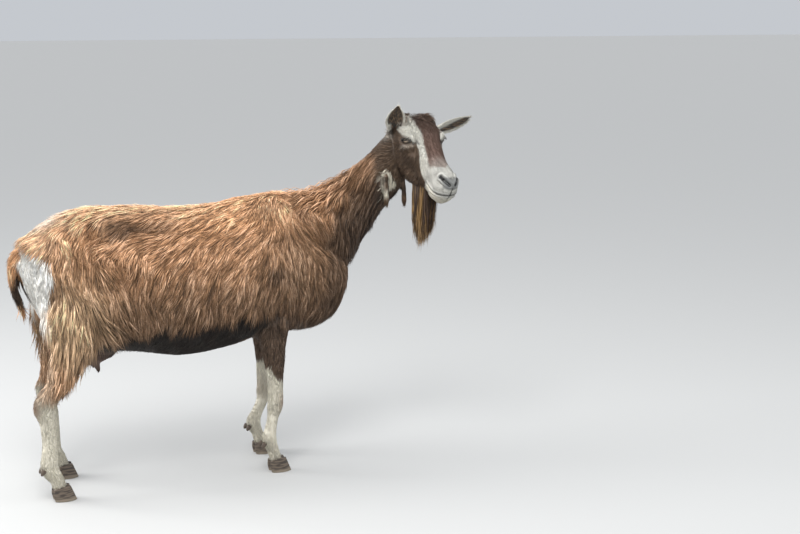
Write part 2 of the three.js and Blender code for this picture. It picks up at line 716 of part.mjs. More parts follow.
function hindleg(side, hip, hock, foot) {
  const y = side * 96;
  const upper = new Loft([
    { at: [hip, side * 52, 664], height: 56, width: 42 },
    { at: [hip + 4, side * 72, 596], height: 89, width: 50 },
    { at: [hip + 13, side * 88, 512], height: 88, width: 50 },
    { at: [hip + 10, side * 97, 430], height: 66, width: 43 },
    { at: [mix(hip, hock, 0.15), side * 100, 368], height: 41, width: 33 },
    { at: [mix(hip, hock, 0.46), side * 99, 318], height: 28, width: 25 },
    { at: [mix(hip, hock, 0.82), y, 282], height: 27, width: 20 },
  ]);
  const lower = new Loft([
    { at: [mix(hip, hock, 0.82), y, 282 - GAP], height: 27, width: 20 },
    { at: [hock + 1, y, 254], height: 31, width: 20 },
    { at: [hock + 8, y, 215], height: 24, width: 18 },
    { at: [mix(hock, foot, 0.35), y, 155], height: 23, width: 17 },
    { at: [foot - 26, y, 92], height: 25, width: 19 },
    { at: [foot - 12, y, 64], height: 20, width: 18 },
    { at: [foot, y, CORONET - 8], height: 22, width: 22 },
  ]);
  return { upper, lower, y, foot, dewclaw: [foot - 44, 86] };
}

const CLAW = { length: 58, width: 22, slope: 14, between: 1.5, toeIn: 3 };

// One claw: a D-shaped sole with a pointed toe, rising to a smaller coronet set back from it.
function clawGeometry(x, y, side) {
  const outline = (z, scale, back) => {
    const CORNERS = 10;
    return Array.from({ length: CORNERS }, (_, i) => {
      const angle = (i / CORNERS) * Math.PI * 2;
      const toe = Math.max(Math.cos(angle), 0) ** 2;
      const half = (CLAW.width / 2) * scale * (1 - 0.35 * toe);
      const reach = (CLAW.length / 2) * scale;
      return vec(x + reach * Math.cos(angle) - back, y + half * Math.sin(angle) - side * toe * CLAW.toeIn, z);
    });
  };
  return ringGeometry([outline(0, 1, -6), outline(14, 0.97, -3), outline(CORONET, 0.78, CLAW.slope - 10)]);
}

const THIGH_LOCK = { length: 100, width: 58, thickness: 7, lift: 12 };
const THIGH_ROWS = (side) => {
  const outer = side > 0 ? 0 : 180;
  const turn = side > 0 ? 1 : -1;
  return [
    { angle: outer + turn * 12, count: 4, from: 0.2, to: 0.72 },
    { angle: outer + turn * 58, count: 3, from: 0.36, to: 0.72, scale: 0.8 },
    { angle: outer - turn * 42, count: 3, from: 0.3, to: 0.72 },
    { angle: 270, count: 2, from: 0.46, to: 0.7, scale: 0.8 },
  ];
};
const thighLie = (place) => vec(place.z > 430 ? 0.25 : -0.15, 0, -1);

const legs = {
  foreleg_R: foreleg(-1, 226, 238, 240),
  foreleg_L: foreleg(1, 268, 270, 257),
  hindleg_R: hindleg(-1, -330, -401, -366),
  hindleg_L: hindleg(1, -322, -358, -320),
};

function legBodies(name, leg) {
  const fore = name.startsWith('fore');
  const locks = fore ? [] : coat(leg.upper, THIGH_ROWS(Math.sign(leg.y)), thighLie, THIGH_LOCK, 53);
  const dewclaws = [1, -1].map((turn) =>
    ball(1, 0, 0, 0, 5, 4).scale(8, 6, 11).translate(leg.dewclaw[0], leg.y + turn * 11, leg.dewclaw[1]));
  return {
    upper: body([leg.upper.geometry(fore ? 8 : 9, 12)], locks),
    lower: body([leg.lower.geometry(10, 9), ...dewclaws]),
    claws: [1, -1].map((turn) =>
      clawGeometry(leg.foot + 6, leg.y + turn * (CLAW.width / 2 + CLAW.between), turn)),
  };
}

// ---------------------------------------------------------------------------------------------------------
// Assembly: each node is cut clear of the ones before it
// ---------------------------------------------------------------------------------------------------------

const tan = matter('#9a6f4b');
const brown = matter('#6d4f3c');
const darkBrown = matter('#3c2b22');
const cream = matter('#d9d0c0');
const horn = matter('#5c5148', 0.6);
const amber = matter('#b8a878', 0.15);
const pink = matter('#8d6b5e', 0.7);

const torsoRoom = room(torso);
const headRoom = room(head);
const neckRoom = room(neck);

const headCuts = union([
  ...[1, -1].map((side) => solid(onHead(lidSlot(side)))),
  ...[1, -1].map((side) => solid(onHead(eyeBall(side)), GAP)),
  ...[1, -1].map((side) => solid(onHead(nostril(side)))),
  solid(onHead(mouthGroove())),
]);

addNode('torso', fused(torso), tan);
addNode('neck', fused(neck).subtract(torsoRoom).subtract(headRoom), brown);
addNode('head', fused(head).subtract(headCuts), brown);
for (const [side, name] of [[1, 'L'], [-1, 'R']]) {
  addNode(`eye_${name}`, solid(onHead(eyeBall(side))), amber);
  addNode(`ear_${name}`, solid(ears[name]).subtract(headRoom).subtract(neckRoom), cream);
  addNode(`wattle_${name}`, fused(wattles[name]).subtract(neckRoom).subtract(headRoom), cream);
}
addNode('beard', fused(beard).subtract(headRoom), brown);
addNode('tail', fused(tail).subtract(torsoRoom), tan);

// Everything below the coronets belongs to the claws.
const SPACE_WIDTH = 1500;
const clawSpace = solid(
  new THREE.BoxGeometry(SPACE_WIDTH, SPACE_WIDTH, CORONET + GAP).translate(0, 0, (CORONET + GAP) / 2),
);
const legRooms = [];
for (const [name, leg] of Object.entries(legs)) {
  const bodies = legBodies(name, leg);
  addNode(`${name}_upper`, fused(bodies.upper).subtract(torsoRoom), name.startsWith('fore') ? brown : tan);
  addNode(`${name}_lower`, fused(bodies.lower).subtract(room(bodies.upper)).subtract(clawSpace), cream);
  bodies.claws.forEach((claw, i) => addNode(`${name}_claw_${i ? 'R' : 'L'}`, solid(claw), horn));
  legRooms.push(room(bodies.upper));
}
addNode('udder', fused(udder).subtract(torsoRoom).subtract(union(legRooms)), pink);

// The origin is on the floor, under the middle of the bounding box.
const bounds = new THREE.Box3().setFromObject(goat);
const middle = bounds.getCenter(new THREE.Vector3());
for (const node of goat.children) {
  node.position.set(-middle.x, -middle.y, -bounds.min.z);
}

export default goat;
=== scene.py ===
"""A dairy goat standing still with its head turned to its right, life size, as a museum shows one.

Metres. +X is the goat's front, +Y its left and +Z up. Places on the goat are written from the floor point
that its trunk stands over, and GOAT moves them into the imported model's frame. The skin is made first, closed
and whole. The coat is then set on it as tufts of mesh, combed by a few guides and coloured like the skin.
"""

import bpy
import numpy as np
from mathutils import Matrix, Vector


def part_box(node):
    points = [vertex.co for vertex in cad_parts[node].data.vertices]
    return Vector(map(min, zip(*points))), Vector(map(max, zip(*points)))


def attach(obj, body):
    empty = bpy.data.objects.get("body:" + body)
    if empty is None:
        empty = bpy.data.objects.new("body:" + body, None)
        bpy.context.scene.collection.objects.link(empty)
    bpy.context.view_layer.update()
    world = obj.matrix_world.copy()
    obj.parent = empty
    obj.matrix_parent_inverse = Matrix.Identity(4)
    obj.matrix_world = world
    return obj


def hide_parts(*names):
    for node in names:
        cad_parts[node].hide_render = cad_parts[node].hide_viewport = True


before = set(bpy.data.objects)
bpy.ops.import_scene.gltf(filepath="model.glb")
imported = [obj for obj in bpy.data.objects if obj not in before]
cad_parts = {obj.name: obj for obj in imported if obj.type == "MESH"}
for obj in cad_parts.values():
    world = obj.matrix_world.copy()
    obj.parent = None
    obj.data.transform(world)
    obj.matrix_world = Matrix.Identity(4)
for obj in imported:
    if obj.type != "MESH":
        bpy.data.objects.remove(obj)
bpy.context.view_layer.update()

# ---------------------------------------------------------------------------------------------------------
# Skin of the trunk, neck, tail, udder and limbs
# Living skin over muscle and bone, drawn a coat's depth inside the solids. Each part is a tube of oval
# rings along its bones. All are closed, then fused and smoothed into one surface, as skin has no seams.
# ---------------------------------------------------------------------------------------------------------

# The head has axes of its own: X from the poll to the nose, Y to the goat's left, Z up from the brow.
POLL = np.array([0.660, -0.115, 0.983])
HEAD_TURN, HEAD_DOWN = np.radians(-84), np.radians(36)
turn = np.array([
    [np.cos(HEAD_TURN), -np.sin(HEAD_TURN), 0],
    [np.sin(HEAD_TURN), np.cos(HEAD_TURN), 0],
    [0, 0, 1],
])
nod = np.array([
    [np.cos(HEAD_DOWN), 0, np.sin(HEAD_DOWN)],
    [0, 1, 0],
    [-np.sin(HEAD_DOWN), 0, np.cos(HEAD_DOWN)],
])
HEAD_AXES = turn @ nod
EYE = np.array([0.071, 0.051, -0.019])  # middle of the left eye, in the head's axes
RIGHT = np.array([1, -1, 1])  # turns a place on the left into its twin on the right


def from_head(places):
    """Places in the head's axes, as places on the goat."""
    return np.asarray(places) @ HEAD_AXES.T + POLL


# Where the goat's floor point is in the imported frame, by its right eye.
GOAT = np.mean(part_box("eye_R"), axis=0) - from_head(EYE * RIGHT)


def between(values, share):
    """Catmull-Rom value of evenly spaced rows of numbers at each share, 0 to 1, of their length."""
    last = len(values) - 1
    place = np.clip(share, 0, 1) * last
    i = np.minimum(place.astype(int), last - 1)
    t = (place - i).reshape(-1, *[1] * (values.ndim - 1))
    a, b, c, d = (values[np.clip(i + step, 0, last)] for step in (-1, 0, 1, 2))
    return b + 0.5 * t * (c - a + t * (2 * a - 5 * b + 4 * c - d + t * (3 * (b - c) + d - a)))


def unit(vectors):
    """Vectors brought to length 1."""
    return vectors / np.maximum(np.linalg.norm(vectors, axis=-1, keepdims=True), 1e-9)


def closed(grid):
    """Closed mesh of a stack of rings: triangles between them and a fan over each end, facing outwards."""
    rings, around = grid.shape[:2]
    index = np.arange(rings * around).reshape(rings, around)
    turned = np.roll(index, -1, axis=1)
    sides = [
        np.stack([index[:-1], turned[:-1], turned[1:]], -1).reshape(-1, 3),
        np.stack([index[:-1], turned[1:], index[1:]], -1).reshape(-1, 3),
    ]
    ends = [
        np.stack([turned[0], index[0], np.full(around, rings * around)], -1),
        np.stack([index[-1], turned[-1], np.full(around, rings * around + 1)], -1),
    ]
    points = np.concatenate([grid.reshape(-1, 3), grid[:1].mean(1), grid[-1:].mean(1)])
    faces = np.concatenate(sides + ends)
    a, b, c = (points[faces[:, corner]] for corner in range(3))
    inside_out = np.einsum("ij,ij->", a, np.cross(b, c)) < 0
    return points, faces[:, ::-1] if inside_out else faces


def joined(shapes):
    """Several (points, faces) shapes as one."""
    starts = np.cumsum([0] + [len(points) for points, _ in shapes[:-1]])
    points = np.concatenate([points for points, _ in shapes])
    return points, np.concatenate([faces + start for (_, faces), start in zip(shapes, starts)])


def mesh_piece(name, points, faces, material=None, **attributes):
    """A smooth mesh object of triangles: coat is its colours, OFBake its map, and any other name a vector."""
    mesh = bpy.data.meshes.new(name)
    mesh.vertices.add(len(points))
    mesh.vertices.foreach_set("co", (points + GOAT).ravel())
    mesh.loops.add(faces.size)
    mesh.loops.foreach_set("vertex_index", faces.ravel())
    mesh.polygons.add(len(faces))
    mesh.polygons.foreach_set("loop_start", np.arange(0, faces.size, 3))
    mesh.polygons.foreach_set("use_smooth", np.ones(len(faces), bool))
    for label, values in attributes.items():
        if label == "OFBake":
            mesh.uv_layers.new(name=label).uv.foreach_set("vector", values[faces].ravel())
        elif label == "coat":
            colour = np.concatenate([values, np.ones((len(values), 1))], 1)
            mesh.attributes.new(label, "FLOAT_COLOR", "POINT").data.foreach_set("color", colour.ravel())
        else:
            mesh.attributes.new(label, "FLOAT_VECTOR", "POINT").data.foreach_set("vector", values.ravel())
    mesh.update(calc_edges=True)
    piece = bpy.data.objects.new(name, mesh)
    bpy.context.scene.collection.objects.link(piece)
    if material:
        mesh.materials.append(material)
    return piece


LIMB_SQUARE = 0.92  # 1 is a plain oval, and less is squarer


def tube(stations, side=(0, 1, 0), upright=False, rings=48, around=36):
    """Oval rings across a smooth path through the stations, each turned square to the path.

    A station is x, y, z, half height, half width and narrowing toward the top. A ring's corner at an angle is
    the path's point + half width * (1 - narrowing * v) * u across + half height * v up, where u and v are the
    angle's cosine and sine, made a little squarer.
    """
    stations = np.array(stations)
    share = np.linspace(0, 1, rings)
    x, y, z, height, width, narrow = between(stations, share).T
    middle = np.stack([x, y, z], -1)
    along = unit(between(stations, share + 0.01)[:, :3] - between(stations, share - 0.01)[:, :3])
    across = unit(side - along * (along @ np.array(side))[:, None])
    upper = np.broadcast_to([0.0, 0.0, 1.0], along.shape) if upright else np.cross(along, across)
    angle = np.linspace(0, 2 * np.pi, around, endpoint=False)
    u, v = (np.sign(wave) * np.abs(wave) ** LIMB_SQUARE for wave in (np.cos(angle), np.sin(angle)))
    reach = width[:, None] * (1 - narrow[:, None] * v) * u
    rise = height[:, None] * v
    return middle[:, None] + across[:, None] * reach[..., None] + upper[:, None] * rise[..., None]


TORSO = [  # x, top, bottom, half width, narrowing toward the top
    (-0.434, 0.648, 0.602, 0.030, 0.00),
    (-0.410, 0.686, 0.538, 0.077, 0.10),
    (-0.350, 0.729, 0.437, 0.105, 0.14),
    (-0.250, 0.757, 0.388, 0.124, 0.20),
    (-0.130, 0.755, 0.369, 0.142, 0.22),
    (-0.010, 0.747, 0.349, 0.150, 0.24),
    (0.110, 0.752, 0.359, 0.144, 0.26),
    (0.220, 0.770, 0.383, 0.130, 0.28),
    (0.310, 0.770, 0.390, 0.116, 0.26),
    (0.390, 0.727, 0.398, 0.102, 0.10),
    (0.446, 0.676, 0.432, 0.078, 0.00),
    (0.476, 0.626, 0.490, 0.044, 0.00),
    (0.484, 0.596, 0.524, 0.020, 0.00),
]
NECK = [  # x, y, z, half height, half width, narrowing
    (0.330, 0.000, 0.630, 0.121, 0.092, 0.0),
    (0.418, 0.000, 0.664, 0.111, 0.086, 0.0),
    (0.484, -0.008, 0.713, 0.087, 0.070, 0.0),
    (0.541, -0.030, 0.772, 0.069, 0.057, 0.0),
    (0.588, -0.052, 0.826, 0.061, 0.051, 0.0),
    (0.626, -0.066, 0.877, 0.057, 0.048, 0.0),
    (0.652, -0.080, 0.925, 0.045, 0.045, 0.0),
]
TAIL = [  # the same columns
    (-0.396, 0, 0.664, 0.012, 0.016, 0),
    (-0.428, 0, 0.658, 0.011, 0.017, 0),
    (-0.447, 0, 0.622, 0.009, 0.018, 0),
    (-0.447, 0, 0.572, 0.008, 0.015, 0),
    (-0.437, 0, 0.526, 0.006, 0.010, 0),
    (-0.432, 0, 0.508, 0.004, 0.005, 0),
]
UDDER = [  # the same columns
    (-0.330, 0, 0.410, 0.020, 0.020, 0),
    (-0.318, 0, 0.402, 0.042, 0.036, 0),
    (-0.262, 0, 0.394, 0.058, 0.049, 0),
    (-0.206, 0, 0.398, 0.044, 0.036, 0),
    (-0.192, 0, 0.404, 0.022, 0.020, 0),
]
TORSO_TUBE = [
    (x, 0, (top + bottom) / 2, (top - bottom) / 2, wide, narrow)
    for x, top, bottom, wide, narrow in TORSO
]
CORONET = 0.040  # height of the line where the claws begin
FORE_APART, HIND_APART = 0.092, 0.096  # from the goat's middle plane to each fore and hind cannon
FEET = {  # side, X of the elbow or hip, of the knee or hock, and of the foot
    "foreleg_R": (-1, 0.226, 0.238, 0.240),
    "foreleg_L": (1, 0.268, 0.270, 0.257),
    "hindleg_R": (-1, -0.330, -0.401, -0.366),
    "hindleg_L": (1, -0.322, -0.358, -0.320),
}


def teat(side):
    """A teat that hangs forward from the udder."""
    return [
        (-0.246, side * 0.024, 0.356, 0.011, 0.011, 0),
        (-0.242, side * 0.026, 0.337, 0.0085, 0.0085, 0),
        (-0.237, side * 0.028, 0.324, 0.006, 0.006, 0),
        (-0.236, side * 0.028, 0.319, 0.002, 0.002, 0),
    ]


def foreleg(side, elbow, knee, foot):
    """Upper arm in the chest, forearm, broad flat knee, cannon, fetlock and pastern."""
    y = side * FORE_APART
    lean = foot - knee
    return [
        (elbow, side * 0.080, 0.520, 0.058, 0.040, 0),
        (elbow + 0.006, side * 0.088, 0.440, 0.053, 0.036, 0),
        ((elbow + knee) / 2 + 0.004, side * 0.091, 0.362, 0.035, 0.027, 0),
        (elbow + 0.8 * (knee - elbow) + 0.004, y, 0.300, 0.0255, 0.0215, 0),
        (knee + 0.002, y, 0.246, 0.0225, 0.0185, 0),
        (knee + 0.002, y, 0.210, 0.0218, 0.0195, 0),
        (knee, y, 0.186, 0.0218, 0.0185, 0),
        (knee - 0.006, y, 0.158, 0.0167, 0.0138, 0),
        (knee + 0.6 * lean - 0.014, y, 0.124, 0.0170, 0.0132, 0),
        (foot - 0.020, y, 0.096, 0.0210, 0.0172, 0),
        (foot - 0.010, y, 0.064, 0.016, 0.0165, 0),
        (foot, y, CORONET - 0.008, 0.017, 0.017, 0),
    ]


def hindleg(side, hip, hock, foot):
    """Thigh in the rump, gaskin, hock with its point behind, cannon, fetlock and pastern."""
    y = side * HIND_APART
    bend = hock - hip
    lean = foot - hock
    return [
        (hip, side * 0.050, 0.664, 0.050, 0.036, 0),
        (hip + 0.004, side * 0.068, 0.596, 0.082, 0.044, 0),
        (hip + 0.013, side * 0.083, 0.512, 0.080, 0.044, 0),
        (hip + 0.010, side * 0.092, 0.430, 0.060, 0.037, 0),
        (hip + 0.15 * bend, side * 0.096, 0.368, 0.036, 0.028, 0),
        (hip + 0.46 * bend, side * 0.097, 0.318, 0.0235, 0.0215, 0),
        (hip + 0.82 * bend, y, 0.282, 0.0235, 0.018, 0),
        (hock + 0.001, y, 0.254, 0.028, 0.0185, 0),
        (hock + 0.008, y, 0.215, 0.0215, 0.0162, 0),
        (hock + 0.35 * lean, y, 0.155, 0.0205, 0.0148, 0),
        (foot - 0.026, y, 0.092, 0.0235, 0.018, 0),
        (foot - 0.012, y, 0.064, 0.0185, 0.0175, 0),
        (foot, y, CORONET - 0.008, 0.018, 0.018, 0),
    ]


def wattle(x, y, top, bottom):
    """A tassel of skin that hangs from the throat, narrow under its root and thicker near its end."""
    drop = top - bottom
    return [
        (x, y, top, 0.0085, 0.0085, 0),
        (x + 0.001, y, top - 0.25 * drop, 0.0062, 0.0062, 0),
        (x + 0.002, y, top - 0.60 * drop, 0.0074, 0.0070, 0),
        (x + 0.003, y, top - 0.85 * drop, 0.0076, 0.0068, 0),
        (x + 0.003, y, top - 0.96 * drop, 0.0020, 0.0020, 0),
    ]


WATTLES = {  # x, y, top, bottom
    "wattle_R": (0.573, -0.106, 0.822, 0.731),
    "wattle_L": (0.636, -0.086, 0.838, 0.727),
}
SKIN_CELL = 0.0054  # size of the cells that fuse the tubes into one surface

body_shapes = [closed(tube(TORSO_TUBE, upright=True, rings=80, around=72)), closed(tube(NECK))]
body_shapes += [closed(tube(TAIL)), closed(tube(UDDER)), closed(tube(teat(1))), closed(tube(teat(-1)))]
body_shapes += [closed(tube(wattle(*place))) for place in WATTLES.values()]
for leg, (side, top, middle, foot) in FEET.items():
    limb = foreleg if leg.startswith("fore") else hindleg
    body_shapes.append(closed(tube(limb(side, top, middle, foot), rings=90)))
body = mesh_piece("body", *joined(body_shapes))

remesh = body.modifiers.new("one surface", "REMESH")
remesh.mode = "VOXEL"
remesh.voxel_size = SKIN_CELL
blend = body.modifiers.new("soft joins", "SMOOTH")
blend.factor = 0.5
blend.iterations = 6

# ---------------------------------------------------------------------------------------------------------
# Skin of the head, ears and eyelids
# Thin skin close over the skull, and ears of skin over gristle. The head is a loft with swellings for bone
# and muscle and grooves for mouth, nostrils and lips. Ears and lids are sheets, and all fuse with the neck.
# ---------------------------------------------------------------------------------------------------------


def normals_of(points, faces):
    """Normal of each point: the sum of its triangles' normals, so that large ones count most."""
    a, b, c = (points[faces[:, corner]] for corner in range(3))
    across = np.cross(b - a, c - a)
    total = np.zeros_like(points)
    for axis in range(3):
        for corner in range(3):
            total[:, axis] += np.bincount(faces[:, corner], across[:, axis], len(points))
    return unit(total)


def on_left(places):
    """Places with those on the right moved to their twins on the left."""
    return np.stack([places[:, 0], np.abs(places[:, 1]), places[:, 2]], -1)


def swollen(places, normals, forms):
    """Places moved along their normals by soft round forms on both sides: x, y, z, reach and height of each.

    A form's push is height * exp(-(distance / reach)^2), and the pushes add up.
    """
    forms = np.array(forms)
    distance = np.linalg.norm(on_left(places)[:, None] - forms[None, :, :3], axis=2)
    return places + normals * (np.exp(-((distance / forms[:, 3]) ** 2)) @ forms[:, 4])[:, None]


HEAD = np.array([  # x, top, bottom, half width, narrowing toward the top, in the head's axes
    (-0.030, -0.050, -0.080, 0.014, 0.00),
    (-0.022, -0.026, -0.104, 0.037, -0.10),
    (-0.006, -0.001, -0.127, 0.053, -0.25),
    (0.022, 0.009, -0.145, 0.057, -0.30),
    (0.050, 0.009, -0.155, 0.057, -0.28),
    (0.078, 0.004, -0.155, 0.056, -0.26),
    (0.104, 0.000, -0.148, 0.049, -0.24),
    (0.132, -0.003, -0.137, 0.040, -0.16),
    (0.160, -0.006, -0.124, 0.034, -0.06),
    (0.186, -0.007, -0.112, 0.032, 0.02),
    (0.208, -0.007, -0.106, 0.033, 0.04),
    (0.230, -0.008, -0.103, 0.033, 0.04),
    (0.248, -0.012, -0.096, 0.029, 0.02),
    (0.259, -0.019, -0.084, 0.022, 0.00),
    (0.265, -0.028, -0.066, 0.013, 0.00),
    (0.267, -0.040, -0.054, 0.005, 0.00),
])
HEAD_SQUARE = 0.84  # 1 is a plain oval, and less is squarer
HEAD_FORMS = [  # x, y, z, reach, height
    (0.066, 0.054, -0.002, 0.018, 0.009),  # brow
    (0.074, 0.057, -0.040, 0.014, 0.004),  # under the eye
    (0.046, 0.060, -0.034, 0.018, 0.005),  # cheek bone
    (0.104, 0.048, -0.038, 0.018, -0.005),  # tear hollow
    (0.046, 0.052, -0.105, 0.034, 0.006),  # jaw muscle
    (0.118, 0.038, -0.090, 0.024, -0.004),  # before the jaw muscle
    (0.045, 0.000, 0.008, 0.030, 0.004),  # forehead
    (0.008, 0.036, 0.002, 0.019, 0.009),  # knobs where horns would be
    (0.135, 0.000, -0.002, 0.030, -0.002),  # bridge of the nose
    (0.238, 0.026, -0.022, 0.011, 0.004),  # nostril wing
    (0.238, 0.026, -0.056, 0.015, 0.004),  # upper lip
    (0.200, 0.032, -0.078, 0.009, -0.002),  # corner of the mouth
    (0.222, 0.027, -0.092, 0.013, 0.003),  # lower lip
    (0.240, 0.000, -0.100, 0.016, 0.005),  # chin
]
MOUTH_CORNER, MOUTH_FRONT = np.array([0.192, -0.074]), np.array([0.268, -0.056])  # X and Z
NOSTRIL = np.array([(0.229, 0.023, -0.021), (0.246, 0.021, -0.018), (0.260, 0.009, -0.024)])
SOCKET = np.array([0, 0.010, 0])  # from the eye's middle to that of its hollow
MOUTH_GROOVE = 0.0020, 0.0045  # half width, depth
PHILTRUM_GROOVE = 0.0013, 0.0016
SOCKET_GROOVE = 0.011, 0.006
NOSTRIL_HALF_WIDTH, NOSTRIL_NARROWING, NOSTRIL_DEPTH = 0.0046, 0.0016, 0.010
LIP_HEIGHT, LIP_AWAY, LIP_REACH = 0.0012, 0.0055, 0.003  # a ridge on both sides of the mouth line
RIM_HEIGHT, RIM_AWAY, RIM_REACH = 0.0018, 0.0078, 0.003  # the same round the nostril


def mouth_height(x):
    """Z of the mouth line over the head's X: it dips behind the upper lip, then rises to the front."""
    t = np.clip((x - MOUTH_CORNER[0]) / (MOUTH_FRONT[0] - MOUTH_CORNER[0]), 0, 1)
    return MOUTH_CORNER[1] + (MOUTH_FRONT[1] - MOUTH_CORNER[1]) * t - 0.004 * np.sin(np.pi * t)


def groove(distance, half_width, depth):
    """How far a soft groove pushes in: -depth * exp(-(distance from its line / half width)^2)."""
    return -depth * np.exp(-((distance / half_width) ** 2))


def segment_distance(places, start, end):
    """Distance from a straight line between two places, and how far along it, 0 to 1."""
    line = end - start
    t = np.clip((places - start) @ line / (line @ line), 0, 1)
    return np.linalg.norm(places - start - t[:, None] * line, axis=1), t


def from_nostril(places):
    """Distance from the nostril's bent line, and how far along it, 0 to 1 from the wing to the inner end."""
    outer, t_outer = segment_distance(places, NOSTRIL[0], NOSTRIL[1])
    inner, t_inner = segment_distance(places, NOSTRIL[1], NOSTRIL[2])
    return np.minimum(outer, inner), np.where(outer < inner, t_outer / 2, 0.5 + t_inner / 2)


def head_surface():
    """The head as one loft, moved along its normals by the forms and then by the grooves.

    A ring's corner is half width * (1 - narrowing * v) * u across and half height * v over the ring's middle,
    where u and v are the cosine and sine of its angle, made squarer.
    """
    rings, around = 150, 152
    x, top, bottom, wide, narrow = between(HEAD, np.linspace(0, 1, rings)).T[:, :, None]
    angle = np.linspace(0, 2 * np.pi, around, endpoint=False)
    u, v = (np.sign(wave) * np.abs(wave) ** HEAD_SQUARE for wave in (np.cos(angle), np.sin(angle)))
    y = wide * (1 - narrow * v) * u
    z = (top + bottom) / 2 + (top - bottom) / 2 * v
    places, faces = closed(np.stack([np.broadcast_to(x, y.shape), y, z], -1))
    places = swollen(places, normals_of(places, faces), HEAD_FORMS)
    own = on_left(places)
    over_mouth = own[:, 2] - mouth_height(own[:, 0])
    mouth = np.clip((own[:, 0] - MOUTH_CORNER[0] + 0.004) / 0.006, 0, 1)
    press = mouth * groove(over_mouth, *MOUTH_GROOVE)
    press += mouth * LIP_HEIGHT * np.exp(-(((np.abs(over_mouth) - LIP_AWAY) / LIP_REACH) ** 2))
    distance, t = from_nostril(own)
    press += groove(distance, NOSTRIL_HALF_WIDTH - NOSTRIL_NARROWING * t, NOSTRIL_DEPTH)
    press += RIM_HEIGHT * np.exp(-(((distance - RIM_AWAY) / RIM_REACH) ** 2))
    philtrum = (own[:, 0] > 0.252) & (own[:, 2] < -0.034)
    press += philtrum * groove(own[:, 1], *PHILTRUM_GROOVE)
    press += groove(np.linalg.norm(own - EYE - SOCKET, axis=1), *SOCKET_GROOVE)
    return from_head(places + normals_of(places, faces) * press[:, None]), faces


EAR_LENGTH_SHARES = np.linspace(0, 1, 44)
EAR_WIDTH, EAR_ROOT_WIDTH, EAR_TIP_HALF_WIDTH = 0.054, 0.026, 0.0008
EAR_CUP, EAR_THICKNESS, EAR_TIP_THICKNESS = 0.016, 0.0034, 0.0016
EAR_ROOT = np.array([-0.002, 0.056, -0.053])
EARS = {  # root, tip and the way that the cup opens
    "ear_R": (from_head(EAR_ROOT * RIGHT), np.array([0.584, -0.165, 1.020]), np.array([-0.35, -0.90, -0.30])),
    "ear_L": (from_head(EAR_ROOT), np.array([0.843, -0.092, 0.979]), np.array([0.10, -0.75, -0.65])),
}


def ear_axes(root, tip, opening):
    """Axes of an ear as rows: along it, across it and out of its cup."""
    along = unit(tip - root)
    out = unit(opening - along * (along @ opening))
    return np.stack([along, np.cross(out, along), out])


def ear_half_width(t):
    """Half width of the ear's blade at a share of its length: a widening root * sin(pi * t^1.1)^0.6."""
    blade = np.maximum(np.sin(np.pi * np.clip(0.12 + 0.88 * t, 0, 1) ** 1.1), 0) ** 0.6
    root = EAR_ROOT_WIDTH / 2 + (EAR_WIDTH - EAR_ROOT_WIDTH) / 2 * np.minimum(1, t * 2.2)
    return np.maximum(root * blade, EAR_TIP_HALF_WIDTH)


def ear_cup(t, across):
    """Height of the ear's mid sheet at a share of its length and across it, -1 to 1.

    It is cup * (1 - 0.55 t) * across^2, a gutter that flattens toward the tip.
    """
    half = ear_half_width(t)
    return EAR_CUP * (1 - 0.55 * t) * across**2 * np.minimum(1, half / 0.012)


def ear_surface(root, tip, opening):
    """A cupped leaf with an inner and an outer face that meet in a rounded edge.

    A ring's corner at an angle is cos(angle) * half width across, and sin(angle)^0.4 * half the thickness off
    the mid sheet.
    """
    t = EAR_LENGTH_SHARES[:, None]
    angle = np.linspace(0, 2 * np.pi, 56, endpoint=False)[None]
    across = np.cos(angle) * np.ones_like(t)
    thick = (EAR_THICKNESS * (1 - t) + EAR_TIP_THICKNESS * t) * (1 - 0.5 * across**2)
    height = ear_cup(t, across) + thick / 2 * np.sign(np.sin(angle)) * np.abs(np.sin(angle)) ** 0.4
    length = np.linalg.norm(tip - root)
    local = np.stack([t * length * np.ones_like(across), across * ear_half_width(t), height], -1)
    points, faces = closed(local)
    return points @ ear_axes(root, tip, opening) + root, faces


EYE_TILT = np.radians(32)
GAZE = unit(np.array([0.42, 0.90, 0.14]))
level = np.array([np.cos(EYE_TILT), 0, np.sin(EYE_TILT)])
SLIT = unit(level - GAZE * (GAZE @ level))
EYE_AXES = np.stack([SLIT, np.cross(GAZE, SLIT), GAZE])  # along the slit to the nose, up across it, out of it
EYE_AXES[1] *= np.sign(EYE_AXES[1, 2])
EYE_RADIUS = 0.0135
LID_SLIT, LID_UP, LID_DOWN = 0.0138, 0.0036, 0.0050  # half length of the slit, and each lid from its middle
LID_REACH = np.array([0.0235, 0.0175])  # half length and half height of the lids together
LID_THICKNESS, LID_EDGE, LID_INSET = 0.0019, 0.0030, 0.0008
CREASE_OVER, CREASE_UNDER, CREASE_REACH, CREASE_DEPTH = 0.0040, 0.0050, 0.0012, 0.0011  # of each lid's fold
LID_CORNERS, LID_OUT, LID_BACK = 96, 15, 9  # grid round the lids, out over them and back inside


